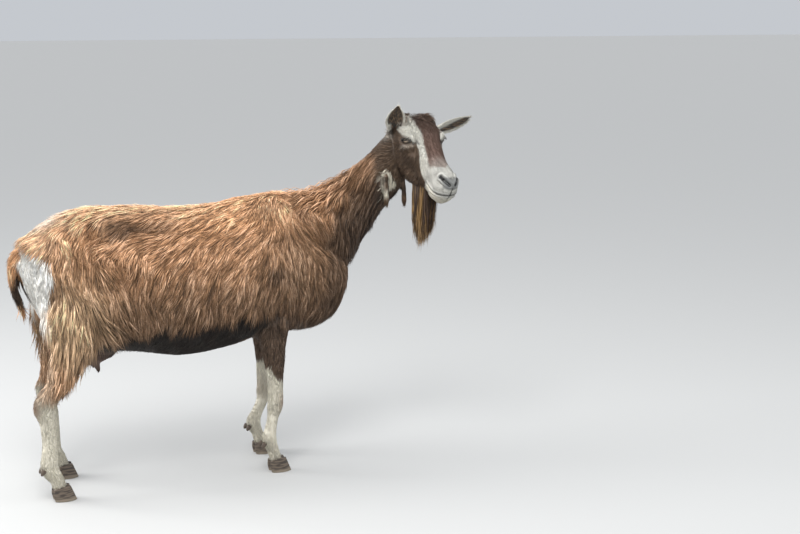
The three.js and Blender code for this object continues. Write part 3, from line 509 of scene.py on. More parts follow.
def lid_surface(side):
    """A ring round the eye: out over the lids from the slit's almond to under the skin, and back inside.

    The lids are a dome that stands edge + rise * cos(r * 90 degrees)^0.8 out of the eye's middle, where r is
    0 at the middle and 1 at the lids' reach. A crease is pressed into each.
    """
    around = np.linspace(0, 2 * np.pi, LID_CORNERS, endpoint=False)[:, None]
    out = np.concatenate([np.linspace(0, 1, LID_OUT), np.linspace(1, 0, LID_BACK)])[None]
    inside = np.arange(LID_OUT + LID_BACK)[None] >= LID_OUT
    opening = np.where(np.sin(around) > 0, LID_UP, LID_DOWN) * np.sin(around) * np.abs(np.sin(around)) ** 0.2
    u = LID_SLIT * np.cos(around) + (LID_REACH[0] - LID_SLIT) * np.cos(around) * out
    v = opening + (LID_REACH[1] * np.sin(around) - opening) * out
    r = np.hypot(u / LID_REACH[0], v / LID_REACH[1])
    dome = LID_EDGE + (EYE_RADIUS + LID_THICKNESS - LID_EDGE) * np.cos(np.minimum(r, 1) * np.pi / 2) ** 0.8
    crease = np.exp(-(((v - opening - CREASE_OVER) / CREASE_REACH) ** 2)) * (np.sin(around) > 0)
    lower_crease = np.exp(-(((opening - v - CREASE_UNDER) / CREASE_REACH) ** 2))
    crease = crease + 0.7 * lower_crease * (np.sin(around) < 0)
    dome = dome - CREASE_DEPTH * crease * np.abs(np.sin(around))
    under = np.sqrt(np.maximum((EYE_RADIUS - LID_INSET) ** 2 - u**2 - v**2, 0.0)) - 0.001
    w = np.where(inside, np.minimum(under, dome - 0.002), dome)
    local = np.stack([u, v, w], -1) @ EYE_AXES + EYE
    grid = local if side > 0 else (local * RIGHT)[::-1]
    index = np.arange(LID_CORNERS * (LID_OUT + LID_BACK)).reshape(grid.shape[:2])
    next_ring, next_corner = np.roll(index, -1, 0), np.roll(index, -1, 1)
    far_corner = np.roll(next_ring, -1, 1)
    faces = np.concatenate([
        np.stack([index, next_ring, far_corner], -1).reshape(-1, 3),
        np.stack([index, far_corner, next_corner], -1).reshape(-1, 3),
    ])
    points = from_head(grid.reshape(-1, 3))
    a, b, c = (points[faces[:, corner]] - points.mean(0) for corner in range(3))
    inside_out = np.einsum("ij,ij->", a, np.cross(b, c)) < 0
    return points, faces[:, ::-1] if inside_out else faces


def merged(piece, *others):
    """The piece with the others fused into it, as one closed surface: its points and triangles."""
    for other in others:
        fuse = piece.modifiers.new("fuse", "BOOLEAN")
        fuse.operation = "UNION"
        fuse.solver = "MANIFOLD"
        fuse.object = other
    mesh = piece.evaluated_get(bpy.context.evaluated_depsgraph_get()).to_mesh()
    mesh.calc_loop_triangles()
    points = np.zeros(len(mesh.vertices) * 3)
    faces = np.zeros(len(mesh.loop_triangles) * 3, int)
    mesh.vertices.foreach_get("co", points)
    mesh.loop_triangles.foreach_get("vertices", faces)
    for spent in (piece, *others):
        bpy.data.objects.remove(spent)
    return points.reshape(-1, 3) - GOAT, faces.reshape(-1, 3)


head = mesh_piece("head_loft", *head_surface())
ears = [mesh_piece(name, *ear_surface(*place)) for name, place in EARS.items()]
lids = [mesh_piece("lids", *lid_surface(side)) for side in (1, -1)]
skin_points, skin_faces = merged(body, head, *ears, *lids)

BODY_FORMS = [  # x, y, z, reach, height
    (0.285, 0.105, 0.690, 0.055, 0.010),  # shoulder blade
    (0.270, 0.125, 0.590, 0.070, 0.007),  # upper arm
    (0.160, 0.120, 0.720, 0.060, -0.007),  # behind the shoulder blade
    (0.405, 0.075, 0.540, 0.045, 0.008),  # point of the shoulder
    (0.195, 0.110, 0.445, 0.035, 0.006),  # elbow
    (-0.240, 0.080, 0.742, 0.034, 0.010),  # hip bone
    (-0.150, 0.105, 0.700, 0.060, -0.012),  # hollow of the flank
    (-0.215, 0.140, 0.560, 0.055, -0.006),  # fold before the thigh
    (-0.040, 0.160, 0.500, 0.120, 0.006),  # paunch
    (-0.400, 0.035, 0.672, 0.026, 0.008),  # pin bone
]
skin_points = swollen(skin_points, normals_of(skin_points, skin_faces), BODY_FORMS)

# ---------------------------------------------------------------------------------------------------------
# Markings
# The colour of hair and hide at each place: a gold and brown coat with white stripes on the face and a white
# muzzle, ears, lower legs and seat. Hide and hair grow in one colour, so the skin and the coat share it.
# Some of these colours are painted light and shade: the lit back, the shaded low sides and belly, the nose's
# grooves and the ear cups.
# ---------------------------------------------------------------------------------------------------------


def paint(red, green, blue):
    """A display colour, 0 to 255, as the linear light that shaders take."""
    value = np.array([red, green, blue]) / 255
    return np.where(value < 0.04045, value / 12.92, ((value + 0.055) / 1.055) ** 2.4)


def ripple(places, wavelength, seed):
    """Soft random numbers, about -1 to 1, that change over the wavelength: a sum of ten plane waves."""
    random = np.random.default_rng(seed)
    ways = unit(random.normal(size=(10, 3))) * random.uniform(0.7, 1.4, (10, 1)) * 2 * np.pi / wavelength
    return np.sin(places @ ways.T + random.uniform(0, 2 * np.pi, 10)).sum(1) * 0.27


def past(value, edge, softness):
    """0 to 1 as the value passes an edge: a smooth step as wide as the softness, half-way at the edge."""
    t = np.clip((value - edge) / softness + 0.5, 0, 1)
    return t * t * (3 - 2 * t)


def near(places, centre, reach):
    """1 at a centre, falling off as exp(-(distance / reach)^2) along each axis. Left and right are alike."""
    return np.exp(-((((on_left(places) - centre) / reach) ** 2).sum(1)))


def mix(colour, other, amount):
    """A colour moved toward another by an amount for each place."""
    return colour + (other - colour) * np.asarray(amount)[:, None]


def everywhere(colour, places):
    """One colour at every place."""
    return np.tile(colour, (len(places), 1))


GOLD, TAN, LIGHT_TAN = paint(222, 167, 120), paint(196, 147, 106), paint(240, 194, 154)
SHOULDER_BROWN, BROWN, DARK_BROWN = paint(154, 120, 90), paint(116, 89, 66), paint(64, 48, 36)
BELLY_BROWN, FACE_BROWN, BLAZE_BROWN = paint(36, 28, 22), paint(98, 78, 60), paint(118, 92, 80)
BLOND, CREAM, WHITE = paint(226, 190, 150), paint(236, 229, 210), paint(232, 228, 216)
SEAT_WHITE = paint(248, 245, 238)
STRIPE_WHITE, MUZZLE_WHITE = paint(226, 223, 212), paint(188, 186, 178)
NOSE_GREY, BLACK, RUST = paint(100, 101, 100), paint(22, 19, 18), paint(156, 104, 70)
UDDER_PINK, LEG_BROWN, EAR_BROWN = paint(124, 100, 88), paint(98, 78, 62), paint(60, 46, 34)
EYE_BAND_GREY = paint(176, 164, 150)
STRIPE_FLOOR = np.array([  # X and Z of the white stripe's lower edge, in the head's axes
    (-0.010, -0.006), (0.016, -0.012), (0.022, -0.024), (0.045, -0.020), (0.060, -0.010), (0.078, -0.003),
    (0.091, -0.008), (0.116, -0.020), (0.131, -0.032), (0.140, -0.046), (0.154, -0.064), (0.190, -0.076),
])
BLAZE_RIGHT = np.array([  # X and Y of the brown blaze's two edges
    (-0.01, -0.004), (0.02, -0.017), (0.045, -0.020), (0.065, -0.015), (0.087, -0.018), (0.105, -0.023),
    (0.142, -0.027), (0.172, -0.029), (0.190, -0.022), (0.206, -0.002),
])
BLAZE_LEFT = np.array([
    (-0.01, 0.045), (0.045, 0.046), (0.073, 0.043), (0.112, 0.034), (0.150, 0.027), (0.19, 0.014),
    (0.206, -0.002),
])
WHITE_SEAT = np.array([  # X and Z of the front edge of the white under the tail
    (-0.402, 0.42), (-0.392, 0.47), (-0.383, 0.512), (-0.378, 0.565), (-0.369, 0.616), (-0.374, 0.660),
    (-0.400, 0.686),
])
TRUNK_PATCHES = [  # colour, amount, centre, reach
    (LIGHT_TAN, 0.75, (0.265, 0.065, 0.762), (0.07, 0.05, 0.022)),  # over the shoulder blade, partly painted light from above
    (LIGHT_TAN, 1.0, (-0.370, 0.060, 0.700), (0.05, 0.06, 0.035)),  # croup, partly painted light from above
    (WHITE, 0.8, (-0.345, 0.0, 0.745), (0.06, 0.030, 0.03)),  # before the tail
]
THIGH_PATCHES = [
    (BLOND, 1.0, (-0.335, 0.14, 0.500), (0.075, 0.07, 0.13)),  # thigh
    (TAN, 0.7, (-0.340, 0.14, 0.360), (0.06, 0.07, 0.05)),  # gaskin
    (UDDER_PINK, 1.0, (-0.262, 0.0, 0.350), (0.09, 0.055, 0.045)),  # udder and teats
]
LEG_PATCHES = [
    (LEG_BROWN, 0.95, (-0.350, 0.10, 0.270), (0.022, 0.03, 0.038)),  # before the hock
    (RUST, 0.7, (-0.425, 0.100, 0.262), (0.014, 0.02, 0.024)),  # point of the hock
    (RUST, 0.7, (0.268, 0.100, 0.205), (0.020, 0.02, 0.026)),  # knee
    (CREAM, 0.7, (-0.400, 0.10, 0.380), (0.025, 0.06, 0.06)),  # behind the gaskin
    (DARK_BROWN, 0.9, (0.240, 0.137, 0.595), (0.018, 0.03, 0.020)),  # spot on the upper arm
]
THROAT_PATCH = np.array([0.580, -0.104, 0.840]), np.array([0.592, -0.100, 0.808])  # its upper and lower end
NECK_WAY = np.array([0.683, 0.729])  # X and Z along the neck's axis, from the shoulder to the head
NECK_FOOT = np.array([0.415, 0.672])
EAR_FLUFF, FLUFF_REACH = np.array([0.586, -0.084, 0.936]), 0.015


def patched(colour, places, patches):
    """The colour with soft oval patches laid over it in turn."""
    for patch_colour, amount, centre, reach in patches:
        colour = mix(colour, patch_colour, amount * near(places, centre, reach))
    return colour


def over_neck(places):
    """How far a place is over the neck's axis, on the nape's side, and along it from the shoulder."""
    x, z = places[:, 0] - NECK_FOOT[0], places[:, 2] - NECK_FOOT[1]
    return z * NECK_WAY[0] - x * NECK_WAY[1], x * NECK_WAY[0] + z * NECK_WAY[1]


def ear_fluff(places):
    """1 at the tuft of white hair on the outer root of the right ear, and falling to 0 round it."""
    return np.exp(-(((places - EAR_FLUFF) / FLUFF_REACH) ** 2).sum(1))


def on_ear(places, name):
    """Whether a place is on this ear, its share along and across it, and how far it is over the mid sheet."""
    root, tip, opening = EARS[name]
    along, across, height = ear_axes(root, tip, opening) @ (places - root).T
    t = along / np.linalg.norm(tip - root)
    side = across / ear_half_width(np.clip(t, 0, 1))
    over = height - ear_cup(np.clip(t, 0, 1), np.clip(side, -1, 1))
    return (t > 0.12) & (t < 1.06) & (np.abs(side) < 1.6) & (np.abs(over) < 0.008), t, side, over


def to_head(places):
    """Places on the goat, in the head's axes."""
    return (places - POLL) @ HEAD_AXES


def head_share(places):
    """0 on the neck and 1 on the head, with a soft edge between them."""
    x, y, z = to_head(places).T
    inside = past(x, -0.022, 0.016) * past(0.095, np.abs(y), 0.02) * past(z, -0.172, 0.02)
    return inside * past(x * 0.75 - z, -0.035, 0.03)


def eye_marks(colour, own, side):
    """A pale band under the eye, a dark rim round it and a dark line where tears run from its corner."""
    across_eye, over_eye, out = EYE_AXES @ (on_left(own) - EYE).T
    round_eye = (out > -0.012) * (side > 0.025)
    band = np.exp(-(((over_eye + 0.0145 - 0.20 * across_eye) / 0.0042) ** 2))
    band = band * past(0.020, np.abs(across_eye - 0.002), 0.012)
    colour = mix(colour, EYE_BAND_GREY, 0.8 * band * round_eye)
    rim = np.hypot(across_eye / 0.0172, over_eye / 0.0076)
    colour = mix(colour, BLACK, past(1.08, rim, 0.28) * round_eye * 0.95)
    tear = np.exp(-(((over_eye - 0.30 * (0.016 - across_eye)) / 0.0026) ** 2))
    tear = tear * past(across_eye, 0.0145, 0.004) * past(0.034, across_eye, 0.012)
    return mix(colour, BLACK, 0.85 * tear * round_eye)


def nose_marks(colour, own, x, side, z):
    """A grey nose pad and upper lip, black painted shade in the nostrils, the philtrum and the mouth line, and
    a cream chin.
    """
    pad = past(x + 0.25 * side, 0.244, 0.010) * past(z, -0.036, 0.010) * past(0.024, side, 0.008)
    colour = mix(colour, NOSE_GREY, 0.85 * pad)
    distance, along = from_nostril(on_left(own))
    colour = mix(colour, NOSE_GREY, 0.6 * past(0.0095, distance, 0.005))
    # Painted shade: the nostrils' openings are black.
    colour = mix(colour, BLACK, past(0.0054 - 0.0014 * along, distance, 0.0022))
    over_mouth = own[:, 2] - mouth_height(own[:, 0])
    lip = 0.55 * past(x, 0.232, 0.016) * past(over_mouth, -0.001, 0.002) * past(0.009, over_mouth, 0.005)
    colour = mix(colour, NOSE_GREY, lip)
    # Painted shade: black in the philtrum's groove and along the mouth line between the lips.
    philtrum = past(0.0022, side, 0.0015) * past(x, 0.255, 0.004) * past(-0.028, z, 0.006)
    colour = mix(colour, BLACK, 0.8 * philtrum)
    mouth_line = past(x, MOUTH_CORNER[0], 0.004) * past(0.0022, np.abs(z - mouth_height(x)), 0.002)
    colour = mix(colour, BLACK, 0.9 * mouth_line)
    chin = past(-0.070, z, 0.02) * past(x, 0.195, 0.01)
    colour = mix(colour, CREAM, 0.6 * chin)
    return mix(colour, DARK_BROWN, near(own, (0.211, 0.027, -0.025), (0.005, 0.008, 0.006)) * 0.45)


def face_colours(places):
    """Brown face with a white stripe on each side of the blaze, which open into a white muzzle."""
    own = to_head(places)
    x, y, z = (own + 0.0012 * ripple(places, 0.009, 5)[:, None]).T
    side = np.abs(y)
    cloud = 0.35 * past(ripple(places, 0.03, 6), 0.2, 0.8)
    colour = mix(everywhere(FACE_BROWN, places), DARK_BROWN, cloud)
    stripe = past(z, np.interp(x, *STRIPE_FLOOR.T), 0.005) * past(x, 0.004, 0.014)
    muzzle = past(x, 0.189, 0.008)
    pale = mix(everywhere(STRIPE_WHITE, places), MUZZLE_WHITE, past(x, 0.175, 0.05))
    colour = mix(colour, pale, np.maximum(stripe, muzzle))
    blaze = past(y, np.interp(x, *BLAZE_RIGHT.T), 0.005) * past(np.interp(x, *BLAZE_LEFT.T), y, 0.006)
    blaze = blaze * past(z, -0.040, 0.012)
    blaze_colour = mix(everywhere(BLAZE_BROWN, places), MUZZLE_WHITE, 0.35 * past(x, 0.165, 0.05))
    colour = mix(colour, blaze_colour, blaze)
    colour = mix(colour, DARK_BROWN, 0.65 * blaze * past(0.050, x, 0.05))
    colour = mix(colour, BROWN, near(own, (0.006, 0.040, 0.010), (0.012, 0.016, 0.014)) * 0.9)
    return nose_marks(eye_marks(colour, own, side), own, x, side, z)


def trunk_colours(places, x, z):
    """Gold on the back, tan on the sides, and brown low down, on the shoulder and on the breast: partly the
    coat's own colours, partly painted light on the back and painted shade low down. The dark band under the
    loin is painted shade.
    """
    colour = everywhere(TAN, places)
    # Painted light: the back is gold and light tan partly because light falls on it from above.
    colour = mix(colour, GOLD, past(z, 0.700, 0.07) * past(0.32, x, 0.10))
    colour = mix(colour, LIGHT_TAN, 0.75 * past(z, 0.735, 0.04) * past(0.10, x, 0.3))
    # Painted shade: the sides, shoulder and breast darken low down partly because less light reaches them.
    colour = mix(colour, SHOULDER_BROWN, 0.85 * past(0.60, z, 0.16))
    colour = mix(colour, BROWN, 0.5 * past(0.56, z, 0.12) * past(0.30, np.abs(x), 0.2))
    colour = mix(colour, SHOULDER_BROWN, near(places, (0.300, 0.12, 0.580), (0.09, 0.2, 0.14)))
    colour = mix(colour, BROWN, 0.8 * past(x, 0.20, 0.10) * past(0.53, z, 0.10))
    # Painted shade: a dark brown band where the loin's fringe of hair shades the hollow of the flank.
    loin_shadow = near(places, (-0.085, 0.075, 0.716), (0.095, 0.05, 0.022))
    loin_shadow = loin_shadow + near(places, (-0.170, 0.080, 0.718), (0.04, 0.05, 0.024))
    colour = mix(colour, DARK_BROWN, np.clip(loin_shadow, 0, 1) * 0.74)
    colour = patched(colour, places, TRUNK_PATCHES)
    colour = mix(colour, BROWN, past(x, 0.370, 0.07) * past(0.75, z, 0.06))
    return mix(colour, DARK_BROWN, 0.5 * past(x, 0.40, 0.05) * past(0.52, z, 0.08))


def neck_colours(colour, places, x):
    """A brown neck, tan along the nape and dark along the throat."""
    nape, up_neck = over_neck(places)
    neck = past(up_neck, 0.0, 0.08) * past(x, 0.36, 0.06)
    colour = mix(colour, BROWN, neck)
    colour = mix(colour, TAN, neck * past(nape, 0.030, 0.05) * np.interp(up_neck, [0.05, 0.25], [1.0, 0.6]))
    return mix(colour, DARK_BROWN, neck * past(-0.005, nape, 0.08) * 0.85)


def leg_colours(colour, places, x, side, z):
    """A dark belly, partly its own dark hair and partly painted shade, blond thighs, brown forelegs, cream
    below a V over the knee, and cream hind legs.
    """
    trunk = past(z, 0.30, 0.02)
    belly_line = 0.480 - 0.25 * np.clip(-0.08 - x, 0, 0.2)
    belly = trunk * past(belly_line, z, 0.02) * past(x, -0.27, 0.03) * past(0.26, x, 0.10)
    # The belly and the low chest before it are near black, partly for their dark hair and partly as painted
    # shade under the trunk.
    colour = mix(colour, BELLY_BROWN, belly)
    colour = mix(colour, BELLY_BROWN, 0.7 * trunk * past(0.43, z, 0.05) * past(x, 0.20, 0.08))
    colour = patched(colour, places, THIGH_PATCHES)
    foreleg = past(0.44, z, 0.06) * past(x, np.interp(z, [0.36, 0.42], [0.12, 0.19]), 0.02)
    colour = mix(colour, LEG_BROWN, foreleg)
    vee = 0.270 + 0.45 * np.abs(side - FORE_APART) + 0.5 * np.clip(0.250 - x, 0, 0.05)
    colour = mix(colour, CREAM, foreleg * past(vee, z, 0.015))
    hindleg = past(-0.15, x, 0.04) * past(0.29, z, 0.04)
    colour = mix(colour, CREAM, hindleg)
    return patched(colour, places, LEG_PATCHES)


def seat_colours(colour, places, x, side, z):
    """A white seat with a brown front edge, and a tail that is gold with a dark band."""
    edge = np.interp(z, WHITE_SEAT[:, 1], WHITE_SEAT[:, 0])
    seat = past(edge, x, 0.012) * past(z, 0.42, 0.06) * past(0.686, z, 0.015)
    brown_edge = 0.6 * np.exp(-(((x - edge - 0.014) / 0.009) ** 2))
    colour = mix(colour, BROWN, brown_edge * past(z, 0.50, 0.04) * past(0.62, z, 0.03))
    colour = mix(colour, SEAT_WHITE, seat)
    tail = past(-0.418, x, 0.006) * past(0.030, side, 0.006) * past(z, 0.48, 0.01)
    over_tip = mix(everywhere(GOLD, places), DARK_BROWN, past(z, 0.530, 0.03))
    return mix(colour, mix(over_tip, GOLD, past(z, 0.600, 0.05)), tail)


def wattle_colours(colour, places):
    """The right wattle is cream at the top and the left one dark, and both are brown at the tip."""
    for name, (x, y, top, bottom) in WATTLES.items():
        tassel = past(0.014, np.hypot(places[:, 0] - x, places[:, 1] - y), 0.004)
        tassel = tassel * past(top + 0.010, places[:, 2], 0.01)
        tip = past(0.35 * top + 0.65 * bottom, places[:, 2], 0.015)
        upper = CREAM if name == "wattle_R" else DARK_BROWN
        colour = mix(colour, mix(everywhere(upper, places), BROWN, tip), tassel)
    return colour


def ear_colours(colour, places):
    """White ears with a dark inner face, near black deep in the cup as painted shade. The left one's inner
    face is dark only toward its lower edge.
    """
    for name in EARS:
        here, t, across, over = on_ear(places, name)
        inner = past(over, 0.0, 0.0008) * past(0.78, np.abs(across), 0.12)
        if name == "ear_L":
            inner = inner * past(1.25 * t - 0.80, across, 0.25)
        # Painted shade: the inner face darkens to near black deep in the ear's cup.
        cup_shade = past(0.55, np.abs(across), 0.5) * past(0.62, t, 0.4)
        inside = mix(everywhere(EAR_BROWN, places), BLACK, 0.75 * cup_shade)
        sheet = mix(everywhere(WHITE, places), inside, inner * 0.95)
        colour = mix(colour, sheet, here * past(t, 0.2, 0.12))
        colour = mix(colour, WHITE, here * past(0.34, t, 0.12) * past(across, 0.35, 0.3))
    return colour


def markings(places):
    """The colour of skin and hair at each place: the trunk's first, then each part's laid over it in turn."""
    x, y, z = (places + 0.010 * ripple(places, 0.06, 3)[:, None]).T
    side = np.abs(y)
    colour = trunk_colours(places, x, z)
    colour = neck_colours(colour, places, x)
    colour = leg_colours(colour, places, x, side, z)
    colour = seat_colours(colour, places, x, side, z)
    colour = wattle_colours(colour, places)
    colour = mix(colour, face_colours(places), head_share(places))
    distance, down = segment_distance(places, *THROAT_PATCH)
    colour = mix(colour, CREAM, past(0.005 + 0.010 * down, distance, 0.005))
    colour = ear_colours(colour, places)
    return mix(colour, WHITE, 0.9 * ear_fluff(places))


# ---------------------------------------------------------------------------------------------------------
# Combing
# Hair grows in a lie of its own: back along the body, forward on the nose, and down from a whorl over each
# shoulder. Guides give its way, length and lift at some places, and the rest lies between them.
# ---------------------------------------------------------------------------------------------------------

BODY_COMB = np.array([  # place X, Y, Z; way X, outward, Z; length; lift
    (0.330, 0.00, 0.780, -1.0, 0.10, -0.10, 0.040, 0.25),  # withers
    (0.150, 0.00, 0.765, -1.0, 0.25, -0.10, 0.050, 0.32),  # back
    (-0.050, 0.00, 0.755, -1.0, 0.20, -0.10, 0.055, 0.34),
    (-0.250, 0.00, 0.765, -1.0, 0.30, -0.10, 0.055, 0.32),  # loin
    (-0.380, 0.02, 0.720, -1.0, 0.20, -0.50, 0.045, 0.20),  # croup
    (0.120, 0.09, 0.720, -0.9, 0.20, -0.45, 0.055, 0.24),  # top of the ribs
    (-0.050, 0.10, 0.710, -0.95, 0.15, -0.40, 0.060, 0.24),
    (-0.170, 0.10, 0.700, -0.9, 0.10, -0.50, 0.055, 0.20),
    (-0.270, 0.09, 0.720, -0.35, 0.30, -0.90, 0.050, 0.20),  # hip bone
    (-0.340, 0.09, 0.670, -0.1, 0.10, -1.00, 0.055, 0.20),
    (0.100, 0.14, 0.600, -0.55, 0.00, -0.85, 0.060, 0.20),  # ribs
    (-0.040, 0.15, 0.600, -0.55, 0.00, -0.85, 0.060, 0.20),
    (-0.140, 0.14, 0.620, -0.35, 0.00, -0.95, 0.060, 0.20),
    (-0.210, 0.13, 0.620, 0.45, 0.00, -0.90, 0.055, 0.20),  # fold before the thigh
    (-0.200, 0.14, 0.530, 0.35, 0.00, -0.95, 0.060, 0.20),
    (0.120, 0.15, 0.480, -0.35, 0.00, -1.00, 0.055, 0.20),  # low on the side
    (-0.020, 0.15, 0.480, -0.25, 0.00, -1.00, 0.060, 0.20),
    (-0.160, 0.14, 0.460, 0.05, 0.00, -1.00, 0.055, 0.20),
    (0.100, 0.14, 0.425, -0.5, -0.20, -0.80, 0.030, 0.20),
    (-0.020, 0.14, 0.425, -0.5, -0.20, -0.80, 0.030, 0.20),
    (-0.120, 0.12, 0.410, -0.4, -0.20, -0.90, 0.035, 0.20),
    (0.100, 0.00, 0.370, -1.0, 0.00, -0.20, 0.025, 0.20),  # belly
    (-0.120, 0.00, 0.385, -1.0, 0.00, -0.20, 0.025, 0.20),
    (0.280, 0.00, 0.390, -0.7, 0.00, -0.70, 0.035, 0.30),  # brisket
    (0.400, 0.03, 0.430, -0.3, 0.00, -1.00, 0.040, 0.30),
    (0.270, 0.07, 0.762, 0.0, 0.30, -1.00, 0.040, 0.22),  # whorl over the shoulder
    (0.270, 0.10, 0.720, 0.0, 0.20, -1.00, 0.045, 0.20),
    (0.340, 0.09, 0.680, 0.55, 0.10, -0.80, 0.045, 0.22),
    (0.200, 0.11, 0.700, -0.8, 0.10, -0.60, 0.050, 0.22),
    (0.300, 0.13, 0.600, 0.1, 0.00, -1.00, 0.055, 0.20),  # shoulder
    (0.200, 0.13, 0.580, -0.4, 0.00, -0.90, 0.055, 0.20),
    (0.270, 0.13, 0.480, 0.0, 0.00, -1.00, 0.050, 0.20),
    (0.420, 0.07, 0.600, 0.25, 0.10, -1.00, 0.050, 0.20),  # breast
    (0.485, 0.00, 0.650, 0.10, 0.00, -1.00, 0.075, 0.34),
    (0.460, 0.05, 0.650, 0.15, 0.00, -1.00, 0.070, 0.28),
    (0.460, 0.02, 0.560, 0.0, 0.00, -1.00, 0.045, 0.22),
    (0.430, 0.05, 0.480, -0.15, 0.00, -1.00, 0.045, 0.24),
    (0.390, 0.00, 0.780, -0.9, 0.15, -0.20, 0.088, 0.66),  # foot of the neck
    (0.440, 0.00, 0.800, -0.85, 0.20, -0.35, 0.085, 0.62),
    (0.420, 0.09, 0.690, -0.1, 0.10, -1.00, 0.055, 0.22),
    (0.490, 0.00, 0.840, -0.75, 0.25, -0.55, 0.075, 0.54),  # middle of the neck
    (0.500, 0.07, 0.760, -0.45, 0.10, -0.90, 0.055, 0.22),
    (0.530, 0.00, 0.700, -0.1, 0.00, -1.00, 0.050, 0.24),
    (0.560, 0.00, 0.910, -0.7, 0.30, -0.65, 0.052, 0.42),  # top of the neck
    (0.570, 0.055, 0.850, -0.45, 0.10, -0.90, 0.045, 0.22),
    (0.610, 0.00, 0.800, -0.25, 0.00, -1.00, 0.042, 0.24),
    (0.600, 0.00, 0.950, -0.6, 0.30, -0.80, 0.028, 0.22),
    (0.630, 0.05, 0.900, -0.3, 0.10, -1.00, 0.028, 0.20),
    (-0.330, 0.11, 0.600, 0.15, 0.00, -1.00, 0.065, 0.20),  # thigh
    (-0.300, 0.13, 0.500, 0.10, 0.00, -1.00, 0.080, 0.24),
    (-0.262, 0.13, 0.550, 0.30, 0.00, -0.95, 0.080, 0.24),
    (-0.235, 0.13, 0.510, 0.60, 0.05, -0.80, 0.080, 0.30),
    (-0.370, 0.12, 0.520, -0.30, 0.00, -1.00, 0.070, 0.24),
    (-0.380, 0.12, 0.500, -0.15, 0.00, -1.00, 0.080, 0.24),
    (-0.330, 0.13, 0.420, -0.05, 0.00, -1.00, 0.090, 0.28),
    (-0.360, 0.12, 0.360, -0.12, 0.00, -1.00, 0.070, 0.30),
    (-0.380, 0.12, 0.310, -0.1, 0.00, -1.00, 0.038, 0.22),
    (-0.330, 0.05, 0.450, 0.0, 0.00, -1.00, 0.030, 0.20),
    (-0.430, 0.06, 0.620, -0.05, 0.10, -1.00, 0.026, 0.12),  # seat
    (-0.400, 0.09, 0.560, -0.05, 0.00, -1.00, 0.030, 0.12),
    (-0.420, 0.08, 0.480, 0.0, 0.10, -1.00, 0.035, 0.16),
    (-0.390, 0.10, 0.250, -0.1, 0.00, -1.00, 0.013, 0.16),  # hock
    (-0.350, 0.10, 0.130, 0.0, 0.00, -1.00, 0.010, 0.14),
    (-0.350, 0.10, 0.060, 0.2, 0.00, -1.00, 0.013, 0.26),
    (0.220, 0.12, 0.420, -0.1, 0.00, -1.00, 0.035, 0.22),  # forearm
    (0.240, 0.11, 0.330, -0.1, 0.00, -1.00, 0.020, 0.18),
    (0.250, 0.10, 0.250, 0.0, 0.00, -1.00, 0.014, 0.16),
    (0.250, 0.10, 0.130, 0.0, 0.00, -1.00, 0.010, 0.14),
    (0.250, 0.10, 0.060, 0.2, 0.00, -1.00, 0.013, 0.26),
    (-0.430, 0.00, 0.660, -1.0, 0.20, -0.30, 0.030, 0.20),  # tail
    (-0.460, 0.02, 0.600, -0.1, 0.30, -1.00, 0.040, 0.24),
    (-0.440, 0.01, 0.530, 0.1, 0.10, -1.00, 0.050, 0.20),
    (-0.260, 0.03, 0.350, -0.3, 0.00, -1.00, 0.008, 0.10),  # udder
])
HEAD_COMB = np.array([  # the same, in the head's axes
    (0.000, 0.000, 0.000, 0.6, 0.50, 0.00, 0.030, 0.45),  # poll
    (0.020, 0.030, 0.000, 0.7, 0.50, -0.20, 0.022, 0.35),
    (-0.020, 0.030, -0.030, -0.8, 0.30, -0.30, 0.022, 0.25),
    (0.060, 0.000, 0.008, 1.0, 0.25, 0.00, 0.016, 0.22),  # forehead and bridge of the nose
    (0.120, 0.000, 0.000, 1.0, 0.30, 0.00, 0.012, 0.18),
    (0.180, 0.000, -0.006, 1.0, 0.30, -0.10, 0.008, 0.14),
    (0.120, 0.035, -0.030, 0.8, 0.20, -0.50, 0.011, 0.16),
    (0.160, 0.030, -0.050, 0.7, 0.10, -0.60, 0.009, 0.14),
    (0.220, 0.020, -0.020, 0.5, 0.50, -0.30, 0.005, 0.12),  # muzzle
    (0.220, 0.030, -0.060, 0.6, 0.00, -0.70, 0.005, 0.12),
    (0.220, 0.020, -0.090, -0.6, 0.20, -0.60, 0.008, 0.20),
    (0.100, 0.045, -0.060, -0.1, 0.10, -1.00, 0.014, 0.20),  # cheek
    (0.050, 0.055, -0.070, -0.5, 0.10, -0.90, 0.018, 0.24),
    (0.080, 0.045, -0.120, -0.5, 0.00, -0.90, 0.028, 0.26),
    (0.020, 0.055, -0.100, -0.6, 0.00, -0.80, 0.022, 0.24),
    (0.000, 0.050, -0.120, -0.6, 0.00, -0.80, 0.024, 0.24),
    (0.120, 0.030, -0.110, -0.3, 0.00, -1.00, 0.026, 0.26),
    (0.030, 0.055, -0.030, -0.8, 0.20, -0.30, 0.014, 0.20),  # between eye and ear
])


GUIDE_REACH = 0.03  # within it a guide rules alone
PARTING = 0.008  # half width of the middle line where the hair turns from one side to the other


def guided(places, comb, side):
    """Way, length and lift at each place: the mean of the guides, where close ones count most.

    A guide's weight is 1 / (distance^2 + reach^2)^3.
    """
    own = np.stack([places[:, 0], np.abs(side), places[:, 2]], -1)
    square = ((own[:, None] - comb[None, :, :3]) ** 2).sum(2)
    weight = 1 / (square + GUIDE_REACH**2) ** 3
    value = (weight @ comb[:, 3:]) / weight.sum(1, keepdims=True)
    value[:, 1] *= np.clip(side / PARTING, -1, 1)
    return value


def neck_bend(x):
    """Y of the neck's middle line over X: the neck turns to the goat's right."""
    return np.interp(x, [0.44, 0.66], [0, -0.085])


LONGER_INSIDE = [0, 0, 0, 0.004, 0.20]  # what the hair inside an ear has more: way, length, lift
FLUFF_COMB = [-0.9, 0.3, 0.35, 0.020, 0.5]  # the same columns, for the tuft at the ear's root
POLL_TUFT = 0.032  # reach of the rough tuft on the poll
STRAY, STRAY_SIZE = 0.25, 0.07  # how far the lie wanders from the guides, and over how far
ROUGH_STRAY, ROUGH_SIZE = 1.1, 0.028  # the same on the poll


